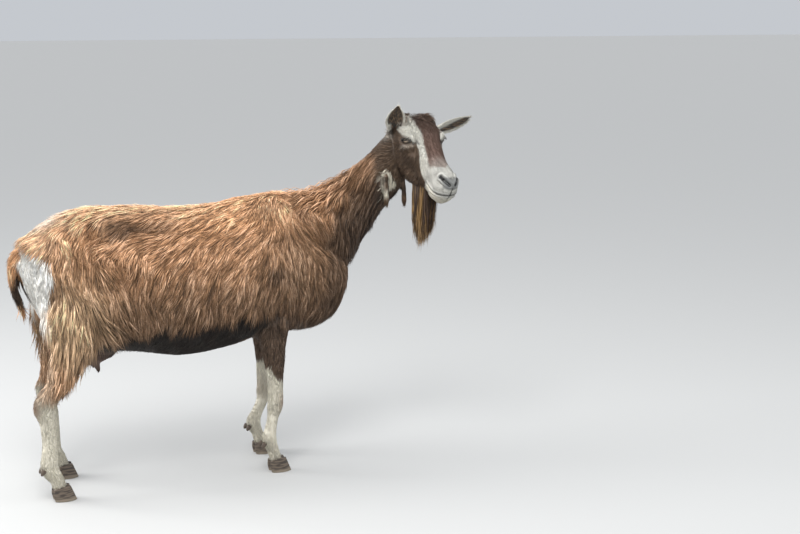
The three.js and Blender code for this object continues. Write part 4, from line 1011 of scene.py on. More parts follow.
def combed(places, normals):
    """Unit way along the skin, length and lift of the hair at each place."""
    body_value = guided(places, BODY_COMB, places[:, 1] - neck_bend(places[:, 0]))
    own = to_head(places)
    head_value = guided(own, HEAD_COMB, own[:, 1])
    head_value[:, :3] = head_value[:, :3] @ HEAD_AXES.T
    value = mix(body_value, head_value, head_share(places))
    for x, y, top, bottom in WATTLES.values():
        tassel = np.hypot(places[:, 0] - x, places[:, 1] - y) < 0.013
        tassel &= places[:, 2] < top + 0.004
        tip = np.clip((top - places[tassel, 2]) / (top - bottom), 0, 1)
        level = np.zeros_like(tip)
        value[tassel] = np.stack([level, level, tip - 2, 0.010 + 0.008 * tip, level + 0.12], -1)
    for name, place in EARS.items():
        here, _, _, over = on_ear(places, name)
        outer_hair = np.concatenate([ear_axes(*place)[0], [0.010, 0.15]])
        value[here] = outer_hair + np.outer(over[here] > 0, LONGER_INSIDE)
    value[ear_fluff(places) > 0.45] = FLUFF_COMB
    value[:, 4] *= np.interp(value[:, 3], [0.010, 0.030], [2.1, 1.0])
    way = value[:, :3] + STRAY * np.stack([ripple(places, STRAY_SIZE, seed) for seed in (11, 12, 13)], -1)
    poll = np.exp(-((own / POLL_TUFT) ** 2).sum(1))
    rough = np.stack([ripple(places, ROUGH_SIZE, seed) for seed in (14, 15, 16)], -1)
    way += ROUGH_STRAY * poll[:, None] * rough
    value[:, 4] *= 1 + 1.2 * poll * np.clip(ripple(places, 0.020, 17), -0.6, 1)
    way -= normals * np.einsum("ij,ij->i", way, normals)[:, None]
    return unit(way), value[:, 3], value[:, 4]


# ---------------------------------------------------------------------------------------------------------
# Skin
# The hide in the colour of the hair that grows from it, darker under long hair, partly as darker underhair and
# partly as painted shade from the coat over it. It shows between the tufts and is bare on the nose, lips and
# eyelids. It is the closed surface made above, and all hair roots in it.
# ---------------------------------------------------------------------------------------------------------


def grained_material(name, grain, smoothest, roughest, depth):
    """The painted colour under a fine grain: noise that changes the roughness and the height.

    The grain is the number of noise cells in a metre, and the depth is in metres.
    """
    material = bpy.data.materials.new(name)
    material.use_nodes = True
    nodes, links = material.node_tree.nodes, material.node_tree.links
    shader = nodes["Principled BSDF"]
    shader.inputs["Specular IOR Level"].default_value = 0.4
    colour, place = nodes.new("ShaderNodeAttribute"), nodes.new("ShaderNodeTexCoord")
    colour.attribute_name = "coat"
    noise, rough, bump = (nodes.new(f"ShaderNode{kind}") for kind in ("TexNoise", "MapRange", "Bump"))
    noise.inputs["Scale"].default_value, noise.inputs["Detail"].default_value = grain, 4.0
    rough.inputs["From Min"].default_value, rough.inputs["From Max"].default_value = 0.3, 0.7
    rough.inputs["To Min"].default_value, rough.inputs["To Max"].default_value = smoothest, roughest
    bump.inputs["Strength"].default_value, bump.inputs["Distance"].default_value = 0.5, depth
    links.new(place.outputs["Object"], noise.inputs["Vector"])
    links.new(noise.outputs["Fac"], rough.inputs["Value"])
    links.new(noise.outputs["Fac"], bump.inputs["Height"])
    links.new(rough.outputs["Result"], shader.inputs["Roughness"])
    links.new(bump.outputs["Normal"], shader.inputs["Normal"])
    links.new(colour.outputs["Color"], shader.inputs["Base Color"])
    return material


skin_material = grained_material("skin", grain=700.0, smoothest=0.45, roughest=0.75, depth=0.0008)
skin_normals = normals_of(skin_points, skin_faces)
_, skin_length, _ = combed(skin_points, skin_normals)
# The hide under long hair is darker, partly as darker underhair and partly as painted shade from the coat over
# it.
underhair_and_shade = np.interp(skin_length, [0.008, 0.018], [0.92, 0.5])[:, None]
skin = mesh_piece("skin", skin_points, skin_faces, skin_material, coat=markings(skin_points) * underhair_and_shade)
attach(skin, "root")
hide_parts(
    *[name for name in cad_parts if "claw" not in name and "eye" not in name and name != "beard"],
)

# ---------------------------------------------------------------------------------------------------------
# Coat
# Hair in locks: short on face, ears and legs, long on flanks, thighs and breast. A tuft is a flat tapered
# blade with a low ridge, rooted in the skin and bowed over along the lie. A region's tufts are one piece.
# ---------------------------------------------------------------------------------------------------------


BROAD_LOCK, FINE_LOCK = 0.0145, 0.008  # width of the locks in long and in short hair


def locks(places, way, size):
    """Soft random numbers, about -1 to 1, that change over the size across the lie and slowly along it.

    It is the mean of ripples at seven places along the lie, so that its ridges are long locks.
    """
    steps = np.linspace(-1.5, 1.5, 7) * size
    return sum(ripple(places + way * step, size, 8) for step in steps) * 0.30


def lock_height(places, way, length):
    """The ridges of the locks: broad ones in long hair, fine ones in short hair."""
    long = np.interp(length, [0.012, 0.035], [0, 1])
    fine = np.interp(length, [0.006, 0.014], [0.2, 1.0])
    return long * locks(places, way, BROAD_LOCK) + (1 - long) * fine * locks(places, way, FINE_LOCK)


SAG, RIDGE, SWING = 0.75, 0.6, 0.0042  # of the lift, of the half width, and in metres
LOCK_STEP = 0.003  # how far to each side a tuft looks for the ridge of its lock
SINK, SINK_SHARE = 0.0002, 0.014  # how deep a tuft sits in the skin: in metres, and as a share of its length


def tufts(root, normal, way, length, width, lift, rings, seed, clump=0.08):
    """Flat tapered blades with a low ridge, each rising from its root and bowing over along the lie to a tip.

    A middle line is root + length * (way * t + normal * lift * (t - sag * t^2)), sunk a little into the skin,
    with a sideways swing and a pull toward the ridge of its lock, which both grow with t^2. Gives the points,
    the triangles, each point's share along and across its tuft, and how many points a tuft has.
    """
    random = np.random.default_rng(seed)
    count = len(root)
    share = np.linspace(0, 1, rings + 1)
    across = np.cross(way, normal)
    height = lock_height(root, way, length)[:, None]
    rise = lift[:, None] * random.uniform(0.7, 1.4, (count, 1)) * (1 + 0.5 * height)
    swing = random.normal(0, 1, (count, 1)) * SWING / np.maximum(length, 0.06)[:, None]
    step = LOCK_STEP * across
    pull = (lock_height(root + step, way, length) - lock_height(root - step, way, length))[:, None]
    middle = (
        root[:, None]
        + (length[:, None] * share)[..., None] * way[:, None]
        + (length[:, None] * rise * (share - SAG * share**2))[..., None] * normal[:, None]
        + (length[:, None] * swing * share**2)[..., None] * across[:, None]
        + (clump * length[:, None] * pull * share**2)[..., None] * across[:, None]
        - (SINK + SINK_SHARE * length[:, None])[..., None] * normal[:, None]
    )
    half = width[:, None] / 2 * np.interp(share, [0, 0.35, 0.7, 1], [0.75, 1, 0.7, 0])
    left = middle - across[:, None] * half[..., None]
    right = middle + across[:, None] * half[..., None]
    ridge = middle + normal[:, None] * RIDGE * half[..., None]
    ringed = np.stack([left, right, ridge], 2)[:, :-1].reshape(count, 3 * rings, 3)
    points = np.concatenate([ringed, middle[:, -1:]], 1)
    per = 3 * rings + 1
    faces = [(0, 2, 1)]
    for ring in range(rings):
        for corner in range(3):
            a, b = 3 * ring + corner, 3 * ring + (corner + 1) % 3
            faces += [(a, b, a + 3), (b, b + 3, a + 3)] if ring + 1 < rings else [(a, b, per - 1)]
    faces = np.array(faces)[:, ::-1] + per * np.arange(count)[:, None, None]
    shares = np.tile(np.append(np.repeat(share[:-1], 3), 1.0), count)
    sides = np.tile(np.append(np.tile([-1.0, 1.0, 0.0], rings), 0.0), count)
    return points.reshape(-1, 3), faces.reshape(-1, 3), shares, sides, per


def hair_material(name, roughness):
    """Hair: the painted colour, broken along each tuft by fine streaks that also raise a bump."""
    material = bpy.data.materials.new(name)
    material.use_nodes = True
    nodes, links = material.node_tree.nodes, material.node_tree.links
    shader = nodes["Principled BSDF"]
    shader.inputs["Roughness"].default_value = roughness
    shader.inputs["Specular IOR Level"].default_value = 0.35
    colour, strand = nodes.new("ShaderNodeAttribute"), nodes.new("ShaderNodeAttribute")
    colour.attribute_name, strand.attribute_name = "coat", "strand"
    streaks = nodes.new("ShaderNodeTexNoise")
    streaks.inputs["Scale"].default_value = 1.0
    streaks.inputs["Detail"].default_value = 3.0
    tone = nodes.new("ShaderNodeMapRange")
    tone.inputs["From Min"].default_value, tone.inputs["From Max"].default_value = 0.3, 0.7
    tone.inputs["To Min"].default_value, tone.inputs["To Max"].default_value = 0.60, 1.34
    product = nodes.new("ShaderNodeVectorMath")
    product.operation = "SCALE"
    bump = nodes.new("ShaderNodeBump")
    bump.inputs["Strength"].default_value = 0.5
    bump.inputs["Distance"].default_value = 0.001
    links.new(strand.outputs["Vector"], streaks.inputs["Vector"])
    links.new(streaks.outputs["Fac"], tone.inputs["Value"])
    links.new(colour.outputs["Color"], product.inputs[0])
    links.new(tone.outputs["Result"], product.inputs["Scale"])
    links.new(product.outputs["Vector"], shader.inputs["Base Color"])
    links.new(streaks.outputs["Fac"], bump.inputs["Height"])
    links.new(bump.outputs["Normal"], shader.inputs["Normal"])
    return material


COAT_MATERIAL = hair_material("coat hair", 0.6)
STREAKS_ACROSS, STREAK_LENGTH = 1.6, 0.03
PATCH = 0.003  # size of a tuft's place on the map


def strands(sides, shares, length, per):
    """Where each point is on the hair's streaks, across and along its tuft. Each tuft has its own streaks."""
    number = np.repeat(np.arange(len(length)) * 7.31, per)
    layer = np.repeat(np.arange(len(length)) * 3.17 % 50, per)
    along = shares * np.repeat(length, per) / STREAK_LENGTH
    return np.stack([sides * STREAKS_ACROSS + number, along, layer], -1)


def mapped(rows):
    """The map of a piece: a small patch for each tuft at its root's place on the unwrapped skin.

    A row is the root's turn round the region and place along it, then the point's own place across and along
    its tuft, -1 to 1.
    """
    place, own = rows[:, :2], rows[:, 2:]
    low, high = place.min(0), place.max(0)
    return 0.01 + 0.98 * (place - low) / np.maximum(high - low, 1e-6) + PATCH / 2 * own


TRUNK_AXIS_HEIGHT, SKULL_AXIS_DEPTH, TAIL_X = 0.570, 0.065, -0.447
LEG_APART = (FORE_APART + HIND_APART) / 2
FACES_APART = 3.4  # how far an ear's inner face lies beside its outer face on the map


def unwrapped(places, region):
    """Turn of each place round its region's axis, and how far it is along that axis."""
    x, y, z = places.T
    if region.startswith("ear"):
        _, t, side, over = on_ear(places, region)
        return side + np.where(over > 0, FACES_APART, 0), t
    if region.startswith("head"):
        x, y, z = to_head(places).T
        return np.arctan2(y, z + SKULL_AXIS_DEPTH), x
    if region.startswith("neck"):
        over, up = over_neck(places)
        return np.arctan2(y - neck_bend(x), over), up
    if region in FEET:
        side, top, middle, foot = FEET[region]
        axis = np.interp(z, [CORONET, 0.22, 0.45], [foot, middle, top])
        return np.arctan2(y - side * LEG_APART, x - axis), z
    if region in WATTLES:
        return np.arctan2(y - WATTLES[region][1], x - WATTLES[region][0]), z
    if region == "tail":
        return np.arctan2(y, x - TAIL_X), z
    return np.arctan2(y, z - TRUNK_AXIS_HEIGHT), x


RUMP_FRONT, FLANK_FRONT, RIBS_FRONT, LEG_TOP = -0.26, -0.05, 0.16, 0.34


def regions(places):
    """The name of the coat piece that each place belongs to."""
    x, y, z = places.T
    left = np.where(y > np.interp(x, [0.44, 0.66, 0.70], [0, -0.085, -0.03]), "_L", "_R")
    trunk = np.where(x < FLANK_FRONT, "flank", np.where(x < RIBS_FRONT, "ribs", "shoulder"))
    trunk = np.where(x < RUMP_FRONT, "rump", trunk)
    name = np.char.add(trunk, left)
    name = np.where(z < LEG_TOP, np.char.add(np.where(x < -0.1, "hindleg", "foreleg"), left), name)
    name = np.where((over_neck(places)[1] > 0.02) & (x > 0.40), np.char.add("neck", left), name)
    name = np.where((x < -0.424) & (np.abs(y) < 0.024) & (z > 0.48), "tail", name)
    in_head = head_share(places) > 0.5
    name = np.where(in_head, np.char.add("head", np.where(to_head(places)[:, 1] > 0, "_L", "_R")), name)
    for wattle_name, (wattle_x, wattle_y, top, _) in WATTLES.items():
        here = (np.hypot(x - wattle_x, y - wattle_y) < 0.012) & (z < top) & ~in_head
        name = np.where(here, wattle_name, name)
    for ear in EARS:
        here, t, _, _ = on_ear(places, ear)
        name = np.where(here & (t > 0.15), ear, name)
    return name


LEAST_WIDTH, WIDTH_SHARE = 0.0010, 0.034


def tuft_width(length):
    """Long tufts are wider than short ones: a least width and a share of the length."""
    return LEAST_WIDTH + WIDTH_SHARE * length


corner_a, corner_b, corner_c = (skin_points[skin_faces[:, corner]] for corner in range(3))
triangle_area = np.linalg.norm(np.cross(corner_b - corner_a, corner_c - corner_a), axis=1) / 2
triangle_place = (corner_a + corner_b + corner_c) / 3
_, triangle_length, _ = combed(triangle_place, skin_normals[skin_faces[:, 0]])

# No hair grows on the nose pad and nostrils, the rims of the lids, the edges of the lips and the claws' tops.
own = on_left(to_head(triangle_place))
x, side, z = own.T
across_eye, over_eye, out_of_eye = EYE_AXES @ (own - EYE).T
bare = (x + 0.25 * side > 0.246) & (z > -0.040) & (side < 0.022)
bare |= from_nostril(own)[0] < 0.0085
bare |= (np.hypot(across_eye / 0.0195, over_eye / 0.0095) < 1) & (out_of_eye > -0.014) & (side > 0.02)
bare |= (x > 0.190) & (np.abs(z - mouth_height(x)) < 0.0035) & (z < -0.05)
bare |= triangle_place[:, 2] < CORONET - 0.002
inner_ear = np.zeros(len(bare), bool)
for name in EARS:
    here, _, across, over = on_ear(triangle_place, name)
    inner_ear |= here & (over > 0) & (np.abs(across) < 0.8)
COVER_SHORT, COVER_LONG = 2.8, 5.3  # how many tufts lie over each place in short and in long hair
INNER_EAR_SHARE, QUICK_SHARE = 0.25, 0.35
cover = np.interp(triangle_length, [0.02, 0.04], [COVER_SHORT, COVER_LONG])
density = cover / (0.5 * triangle_length * tuft_width(triangle_length))
density[bare] = 0
density[inner_ear] *= INNER_EAR_SHARE
expected = density * triangle_area

# Each triangle gets as many roots as its density asks for, at random places on it.
random = np.random.default_rng(2)
in_triangle = np.floor(expected + random.uniform(0, 1, len(expected))).astype(int)
owner = np.repeat(np.arange(len(expected)), in_triangle)
u, v = random.uniform(0, 1, (2, len(owner)))
folded = u + v > 1
u[folded], v[folded] = 1 - u[folded], 1 - v[folded]
corner_shares = np.stack([1 - u - v, u, v], -1)[:, :, None]
roots = (skin_points[skin_faces[owner]] * corner_shares).sum(1)
root_normals = unit((skin_normals[skin_faces[owner]] * corner_shares).sum(1))

way, length, lift = combed(roots, root_normals)
random = np.random.default_rng(4)
length = length * random.uniform(0.75, 1.2, len(roots))
width = tuft_width(length) * random.uniform(0.75, 1.25, len(roots))

# Hair on the ridge of a lock is lighter than hair between locks, partly as painted shade in the gaps between
# them. Pale places, legs and face vary less.
colour = markings(roots)
tone = 0.50 * lock_height(roots, way, length) + random.normal(0, 0.26, len(roots))
tone -= 0.70 * (random.uniform(0, 1, len(roots)) < 0.15)
firm = np.clip(0.3 * head_share(roots) + past(0.30, roots[:, 2], 0.05) + past(colour.min(1), 0.40, 0.2), 0, 1)
colour = colour * np.exp(np.clip(tone, -1.3, 0.7) * (1 - 0.65 * firm))[:, None]
ashen = colour.mean(1)[:, None] * np.array([1.12, 0.98, 0.84])
colour = mix(colour, ashen, 0.28 * past(tone, 0.25, 0.6) * past(0.42, colour.min(1), 0.1))
pale_hair = inner_ear[owner] & (random.uniform(0, 1, len(roots)) < 0.5) & (colour.min(1) < 0.2)
colour[pale_hair] = BLOND * random.uniform(0.4, 0.9, (pale_hair.sum(), 1))
pale = past(colour.min(1), 0.40, 0.2)

# A tuft is darker at its root than at its tip, partly as darker underhair and partly as painted shade at the
# root and painted light at the tip, less so where the hair is short or pale.
region = regions(roots)
LONG_HAIR = 0.020  # past this a tuft bends in two places
bends = np.where(length > LONG_HAIR, 2, 1)
for name in np.unique(region):
    shapes, fields, maps = [], [], []
    for rings in (1, 2):
        here = (region == name) & (bends == rings)
        points, faces, shares, sides, per = tufts(
            roots[here], root_normals[here], way[here], length[here], width[here], lift[here], rings, 6
        )
        shapes.append((points, faces))
        short = np.interp(np.repeat(length[here], per), [0.012, 0.04], [1, 0])
        shade = np.interp(shares, [0, 0.45, 1], [0.40, 0.95, 1.15])
        shade = shade + (1 - shade) * np.maximum(0.6 * short, 0.8 * np.repeat(pale[here], per))
        painted = np.clip(np.repeat(colour[here], per, 0) * shade[:, None], 0, 1)
        fields.append(np.concatenate([painted, strands(sides, shares, length[here], per)], 1))
        turn, along = unwrapped(roots[here], name)
        maps.append(np.stack([np.repeat(turn, per), np.repeat(along, per), sides, 2 * shares - 1], -1))
    points, faces = joined(shapes)
    fields = np.concatenate(fields)
    piece = mesh_piece(
        f"coat_{name}", points, faces, COAT_MATERIAL,
        coat=fields[:, :3], strand=fields[:, 3:], OFBake=mapped(np.concatenate(maps)),
    )
    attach(piece, "root")

# ---------------------------------------------------------------------------------------------------------
# Beard
# Long waved hair that hangs from the chin and jaw in one tail, dark at its roots and gold further down. Its
# strands are long tufts rooted in the skin under the jaw, and each runs toward the tail's end.
# ---------------------------------------------------------------------------------------------------------

BEARD_END = np.array([0.636, -0.188, 0.612])
BEARD_TUFTS = 2400
BEARD_WIDTH, BEARD_LIFT, BEARD_CLUMP = 0.0026, 0.03, 0.03
BEARD_BENDS = 4
BEARD_LENGTH = 0.20  # what the waves and the colours are spread over
BEARD_BROWN = paint(60, 44, 33)
BEARD_GOLD, BEARD_PALE = paint(138, 108, 66), paint(212, 174, 130)

# The strands are rooted under the jaw and drawn together toward the end, and those at the sides are shorter.
x, y, _ = to_head(skin_points).T
facing_down = (skin_normals @ HEAD_AXES)[:, 2] < -0.55
under_jaw = (x > 0.122) & (x < 0.190) & facing_down & (np.abs(y) < 0.026)
random = np.random.default_rng(9)
picked = random.choice(np.flatnonzero(under_jaw), BEARD_TUFTS)
beard_root = skin_points[picked] + random.normal(0, 0.0012, (BEARD_TUFTS, 3))
beard_root -= skin_normals[picked] * 0.002
spread = random.normal(0, 1, (BEARD_TUFTS, 3)) * [0.005, 0.005, 0.010]
off_middle = (beard_root - BEARD_END) * [1, 1, 0]
beard_end = BEARD_END + spread + 0.45 * off_middle
beard_way = beard_end - beard_root
beard_length = np.linalg.norm(beard_way, axis=1) * random.uniform(0.55, 1.0, BEARD_TUFTS) ** 0.5
beard_length *= 1 - 4.5 * np.linalg.norm(off_middle, axis=1)
beard_way = unit(beard_way)
beard_out = unit((beard_root - BEARD_END) * [1, 1, 0] + random.normal(0, 0.02, (BEARD_TUFTS, 3)))
beard_out = unit(beard_out - beard_way * np.einsum("ij,ij->i", beard_out, beard_way)[:, None])
beard_width, beard_lift = np.full(BEARD_TUFTS, BEARD_WIDTH), np.full(BEARD_TUFTS, BEARD_LIFT)
points, faces, shares, sides, per = tufts(
    beard_root, beard_out, beard_way, beard_length, beard_width, beard_lift, BEARD_BENDS, 10, BEARD_CLUMP
)
far_down = shares * np.repeat(beard_length, per) / BEARD_LENGTH
wave = ripple(points * [0.6, 0.6, 1.0], 0.070, 41) * far_down
points = points + wave[:, None] * np.array([0.006, -0.003, 0])

# The tail turns from brown to gold further down, each lane of it at its own height.
lane = 0.8 * ripple(beard_root * [1, 1, 0], 0.014, 40) + random.normal(0, 0.30, BEARD_TUFTS)
gold_part = past(0.7 * np.repeat(lane, per) + 1.2 * far_down, 0.55, 0.8)
strand_gold = mix(everywhere(BEARD_GOLD, points), BEARD_PALE, past(far_down, 0.65, 0.4))
beard_colour = mix(everywhere(BEARD_BROWN, points), strand_gold, gold_part)
beard_colour = beard_colour * np.repeat(np.exp(random.normal(0, 0.22, BEARD_TUFTS)), per)[:, None]
map_rows = np.stack([np.repeat(y[picked], per), np.repeat(x[picked], per), sides, 2 * shares - 1], -1)
beard = mesh_piece(
    "beard_hair", points, faces, COAT_MATERIAL,
    coat=np.clip(beard_colour, 0, 1),
    strand=strands(sides, shares, beard_length, per),
    OFBake=mapped(map_rows),
)
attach(beard, "root")
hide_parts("beard")

# ---------------------------------------------------------------------------------------------------------
# Eyes and lashes
# A goat's eye is a ball with a clear raised cornea, a pale brown iris and a level slit pupil, wet with tears.
# Each is a surface turned round its gaze and sits in the lids. The lashes are thin black tufts on their edge.
# ---------------------------------------------------------------------------------------------------------

EYE_TEARS, TEARS_ROUGHNESS = 1.0, 0.04
CORNEA_RISE, CORNEA_REACH = 0.0009, 0.50  # in metres, and in radians from the gaze
IRIS_LIGHT, IRIS_BROWN, IRIS_RIM = paint(190, 168, 142), paint(138, 116, 92), paint(46, 36, 30)
PUPIL_BLACK = paint(12, 10, 10)
PUPIL_HALF_LENGTH, PUPIL_HALF_HEIGHT = 0.40, 0.105  # as shares of the ball's radius

eye_material = grained_material("eye", grain=1500.0, smoothest=0.20, roughest=0.35, depth=0.0001)
eye_shader = eye_material.node_tree.nodes["Principled BSDF"]
eye_shader.inputs["Coat Weight"].default_value = EYE_TEARS
eye_shader.inputs["Coat Roughness"].default_value = TEARS_ROUGHNESS


def eye_ball(side):
    """A ball whose rings run round its gaze, with its colours from the distance to the gaze.

    Its radius is the eye's + rise * exp(-(angle from the gaze / reach)^2).
    """
    polar = np.linspace(0.0, np.pi, 64)[1:-1, None]
    around = np.linspace(0, 2 * np.pi, 96, endpoint=False)[None]
    radius = EYE_RADIUS - 0.0002 + CORNEA_RISE * np.exp(-((polar / CORNEA_REACH) ** 2))
    along_gaze = np.cos(polar) * np.ones_like(around)
    local = np.stack([np.sin(polar) * np.cos(around), np.sin(polar) * np.sin(around), along_gaze], -1)
    points, faces = closed(local * radius[..., None])
    u, v, w = points.T / EYE_RADIUS
    out = np.hypot(u, v) + (w < 0)
    streak = 0.5 + 0.5 * np.sin(27 * np.arctan2(v, u)) * np.sin(11 * np.arctan2(v, u) + 2)
    iris = mix(everywhere(IRIS_LIGHT, points), IRIS_BROWN, 0.5 * streak + 0.5 * past(out, 0.52, 0.12))
    iris = mix(iris, IRIS_RIM, past(out, 0.66, 0.08))
    pupil = past(PUPIL_HALF_LENGTH, np.abs(u), 0.05) * past(PUPIL_HALF_HEIGHT, np.abs(v) - 0.02 * u * u, 0.03)
    iris = mix(iris, PUPIL_BLACK, pupil * (w > 0))
    placed = from_head((points @ EYE_AXES + EYE) * (1 if side > 0 else RIGHT))
    return placed, faces if side > 0 else faces[:, ::-1], iris


LASHES = 46
LASH_WIDTH, LASH_LIFT, LASH_BENDS = 0.0005, -0.3, 3
LASH_RISE, LASH_OUT = 0.0006, 0.0145  # of the roots over the slit's edge and out of the eye's middle
for name, side in (("eye_L", 1), ("eye_R", -1)):
    points, faces, iris = eye_ball(side)
    ball = mesh_piece(f"{name}_ball", points, faces, eye_material, coat=iris)
    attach(ball, "root")
    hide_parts(name)
    random = np.random.default_rng(14)
    t = np.linspace(0.15, 0.85, LASHES) * np.pi
    over_slit = LID_UP * np.sin(t) ** 1.2 + LASH_RISE
    edge = np.stack([LID_SLIT * np.cos(t), over_slit, LASH_OUT * np.sin(t) ** 0.4], -1)
    droop = np.stack([0.35 * np.cos(t), np.full(LASHES, -0.35), np.ones(LASHES)], -1)
    droop = droop + random.normal(0, 0.12, (LASHES, 3))
    hand = np.ones(3) if side > 0 else RIGHT
    root = from_head((edge @ EYE_AXES + EYE) * hand)
    lash_way = unit((droop @ EYE_AXES * hand) @ HEAD_AXES.T)
    over = np.broadcast_to((EYE_AXES[1] * hand) @ HEAD_AXES.T, lash_way.shape)
    over = unit(over - lash_way * np.einsum("ij,ij->i", over, lash_way)[:, None])
    lash_length = random.uniform(0.006, 0.010, LASHES)
    lash_width, lash_lift = np.full(LASHES, LASH_WIDTH), np.full(LASHES, LASH_LIFT)
    points, faces, shares, sides, per = tufts(
        root, over, lash_way, lash_length, lash_width, lash_lift, LASH_BENDS, 15
    )
    lashes = mesh_piece(
        f"{name}_lashes", points, faces, COAT_MATERIAL,
        coat=everywhere(BLACK, points),
        strand=strands(sides, shares, lash_length, per),
        OFBake=mapped(np.stack([np.repeat(t, per), np.repeat(t, per), sides, 2 * shares - 1], -1)),
    )
    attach(lashes, "root")

# ---------------------------------------------------------------------------------------------------------
# Claws and dewclaws
# A foot stands on two claws of grey-brown horn with growth rings, and two blunt dewclaws sit behind the
# fetlock. Each is a closed shape: the claws grow out of the skin at the coronet, the dewclaws out of the leg.
# ---------------------------------------------------------------------------------------------------------

CLAW_LENGTH, CLAW_WIDTH, CLAW_GAP, TOE_IN = 0.058, 0.022, 0.0015, 0.003
CLAW_FORWARD = 0.006  # how far the claws' middle is before the foot's
HORN_GREY, HORN_DARK, SOLE_GREY = paint(104, 92, 80), paint(62, 54, 48), paint(150, 138, 120)
DEWCLAW_GREY = paint(84, 72, 62)
DEWCLAW_RADIUS, DEWCLAW_LENGTH, DEWCLAW_BACK, DEWCLAW_APART = 0.0068, 0.014, 0.009, 0.011

horn_material = grained_material("hoof horn", grain=450.0, smoothest=0.35, roughest=0.70, depth=0.0010)


def claw(x, y, side):
    """A D-shaped sole with a pointed toe, a sloping wall with growth rings and a soft heel behind.

    Each ring is an oval of the claw's length and width, drawn in toward the toe by cos^2 of its angle, and
    scaled down and slid back as it rises to the coronet.
    """
    level = np.concatenate([[0.0, 0.03], np.linspace(0.08, 1, 30)])[:, None]
    angle = np.linspace(0, 2 * np.pi, 56, endpoint=False)[None]
    toe = np.maximum(np.cos(angle), 0) ** 2
    scale = 1 - 0.22 * level**1.3 - 0.05 * (level == 0) + 0.006 * np.sin(level * 34) * toe
    back = -0.006 + 0.010 * level**0.9
    heel = 0.0016 * np.exp(-(((level - 0.5) / 0.3) ** 2)) * (np.cos(angle) < -0.5)
    out = x + (CLAW_LENGTH / 2 * scale + heel) * np.cos(angle) - back
    half = CLAW_WIDTH / 2 * scale * (1 - 0.35 * toe)
    over = y + half * np.sin(angle) - side * toe * TOE_IN * (1 - 0.3 * level)
    heel_slope = 0.18 * (np.cos(angle) < -0.3) * level * (-np.cos(angle))
    height = CORONET * level * (1 - heel_slope)
    points, faces = closed(np.stack([out, over, height], -1))
    ring = ripple(points * [0.2, 0.2, 1], 0.0060, 31)
    colour = mix(everywhere(HORN_GREY, points), HORN_DARK, past(ring, 0.1, 0.8))
    colour = mix(colour, SOLE_GREY, past(0.008, points[:, 2], 0.01) * 0.6)
    return points, faces, colour


for leg, (_, _, _, foot) in FEET.items():
    middle = FORE_APART if leg.startswith("fore") else HIND_APART
    for hand, turned in (("L", 1), ("R", -1)):
        y = (1 if leg.endswith("L") else -1) * middle + turned * (CLAW_WIDTH / 2 + CLAW_GAP)
        points, faces, colour = claw(foot + CLAW_FORWARD, y, turned)
        hoof = mesh_piece(f"{leg}_hoof_{hand}", points, faces, horn_material, coat=colour)
        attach(hoof, "root")
        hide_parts(f"{leg}_claw_{hand}")


def dewclaw(x, y, z, turned):
    """A blunt cone behind the fetlock, pointing down and back. Its radius falls as sqrt(1 - 0.96 t^2)."""
    t = np.linspace(0, 1, 10)[:, None]
    angle = np.linspace(0, 2 * np.pi, 20, endpoint=False)[None]
    radius = DEWCLAW_RADIUS * np.sqrt(1 - 0.96 * t**2)
    return closed(np.stack([
        x - DEWCLAW_BACK * t + radius * np.cos(angle) * 0.9,
        y + turned * 0.002 * t + radius * np.sin(angle),
        z - DEWCLAW_LENGTH * t + radius * np.cos(angle) * -0.5,
    ], -1))


shapes = []
for leg, (side, _, _, foot) in FEET.items():
    fore = leg.startswith("fore")
    back, height, middle = (0.036, 0.088, FORE_APART) if fore else (0.042, 0.090, HIND_APART)
    for turned in (1, -1):
        shapes.append(dewclaw(foot - back, side * middle + turned * DEWCLAW_APART, height, turned))
points, faces = joined(shapes)
dewclaws = mesh_piece("dewclaws", points, faces, horn_material, coat=everywhere(DEWCLAW_GREY, points))
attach(dewclaws, "root")

# ---------------------------------------------------------------------------------------------------------
# Floor, lights and camera
# A plain studio round the goat, and no part of it: a grey floor, an even sky with a wide soft sun, and three
# square lamps. The camera stands on the goat's right, behind its middle, and looks slightly down.
# ---------------------------------------------------------------------------------------------------------

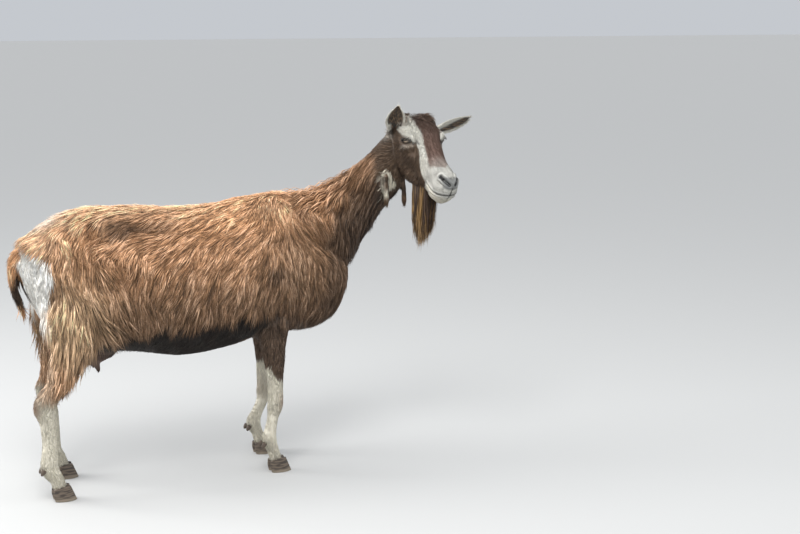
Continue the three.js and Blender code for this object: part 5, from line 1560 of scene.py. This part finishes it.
FLOOR_REACH = 60
floor_grid = np.array([[-1, -1, 0], [1, -1, 0], [1, 1, 0], [-1, 1, 0]], float) * FLOOR_REACH
floor = mesh_piece("floor", floor_grid - GOAT, np.array([[0, 1, 2], [0, 2, 3]]))
floor_material = bpy.data.materials.new("floor")
floor_material.use_nodes = True
floor_material.node_tree.nodes["Principled BSDF"].inputs["Base Color"].default_value = (0.50, 0.50, 0.49, 1)
floor_material.node_tree.nodes["Principled BSDF"].inputs["Roughness"].default_value = 0.7
floor.data.materials.append(floor_material)
CAMERA_PLACE = np.array([-1.108, -3.891, 1.280])
CAMERA_TURN, CAMERA_DOWN = np.radians(24.5), np.radians(9.85)
camera = bpy.data.objects.new("camera", bpy.data.cameras.new("camera"))
camera.data.lens = 66.6
camera.data.sensor_width = 36
camera.location = CAMERA_PLACE + GOAT
camera.rotation_euler = (np.pi / 2 - CAMERA_DOWN, 0, -CAMERA_TURN)
bpy.context.scene.collection.objects.link(camera)
bpy.context.scene.camera = camera


def soft_light(name, place, aim, size, power):
    """A soft light that faces a point: a square of a size in metres, or a sky disc of an angle in radians."""
    light = bpy.data.objects.new(name, bpy.data.lights.new(name, "SUN" if name == "sky" else "AREA"))
    if name == "sky":
        light.data.angle = size
    else:
        light.data.size = size
    light.data.energy = power
    light.location = place
    light.rotation_euler = (Vector(aim) - Vector(place)).to_track_quat("-Z", "Y").to_euler()
    bpy.context.scene.collection.objects.link(light)


soft_light("sky", (-0.8, -0.2, 3.0), (0, 0, 0), 1.2, 1.5)
soft_light("key", (-1.2, -2.2, 3.4), (0, 0, 0.5), 1.6, 105)
soft_light("rear", (-3.0, 1.2, 2.0), (0, 0, 0.6), 1.8, 90)
soft_light("fill", (2.8, -2.2, 1.8), (0, 0, 0.5), 2.0, 18)
world = bpy.data.worlds.new("studio")
world.use_nodes = True
world.node_tree.nodes["Background"].inputs["Color"].default_value = (0.9, 0.94, 1.0, 1)
world.node_tree.nodes["Background"].inputs["Strength"].default_value = 0.62
bpy.context.scene.view_settings.view_transform = "Standard"
bpy.context.scene.world = world
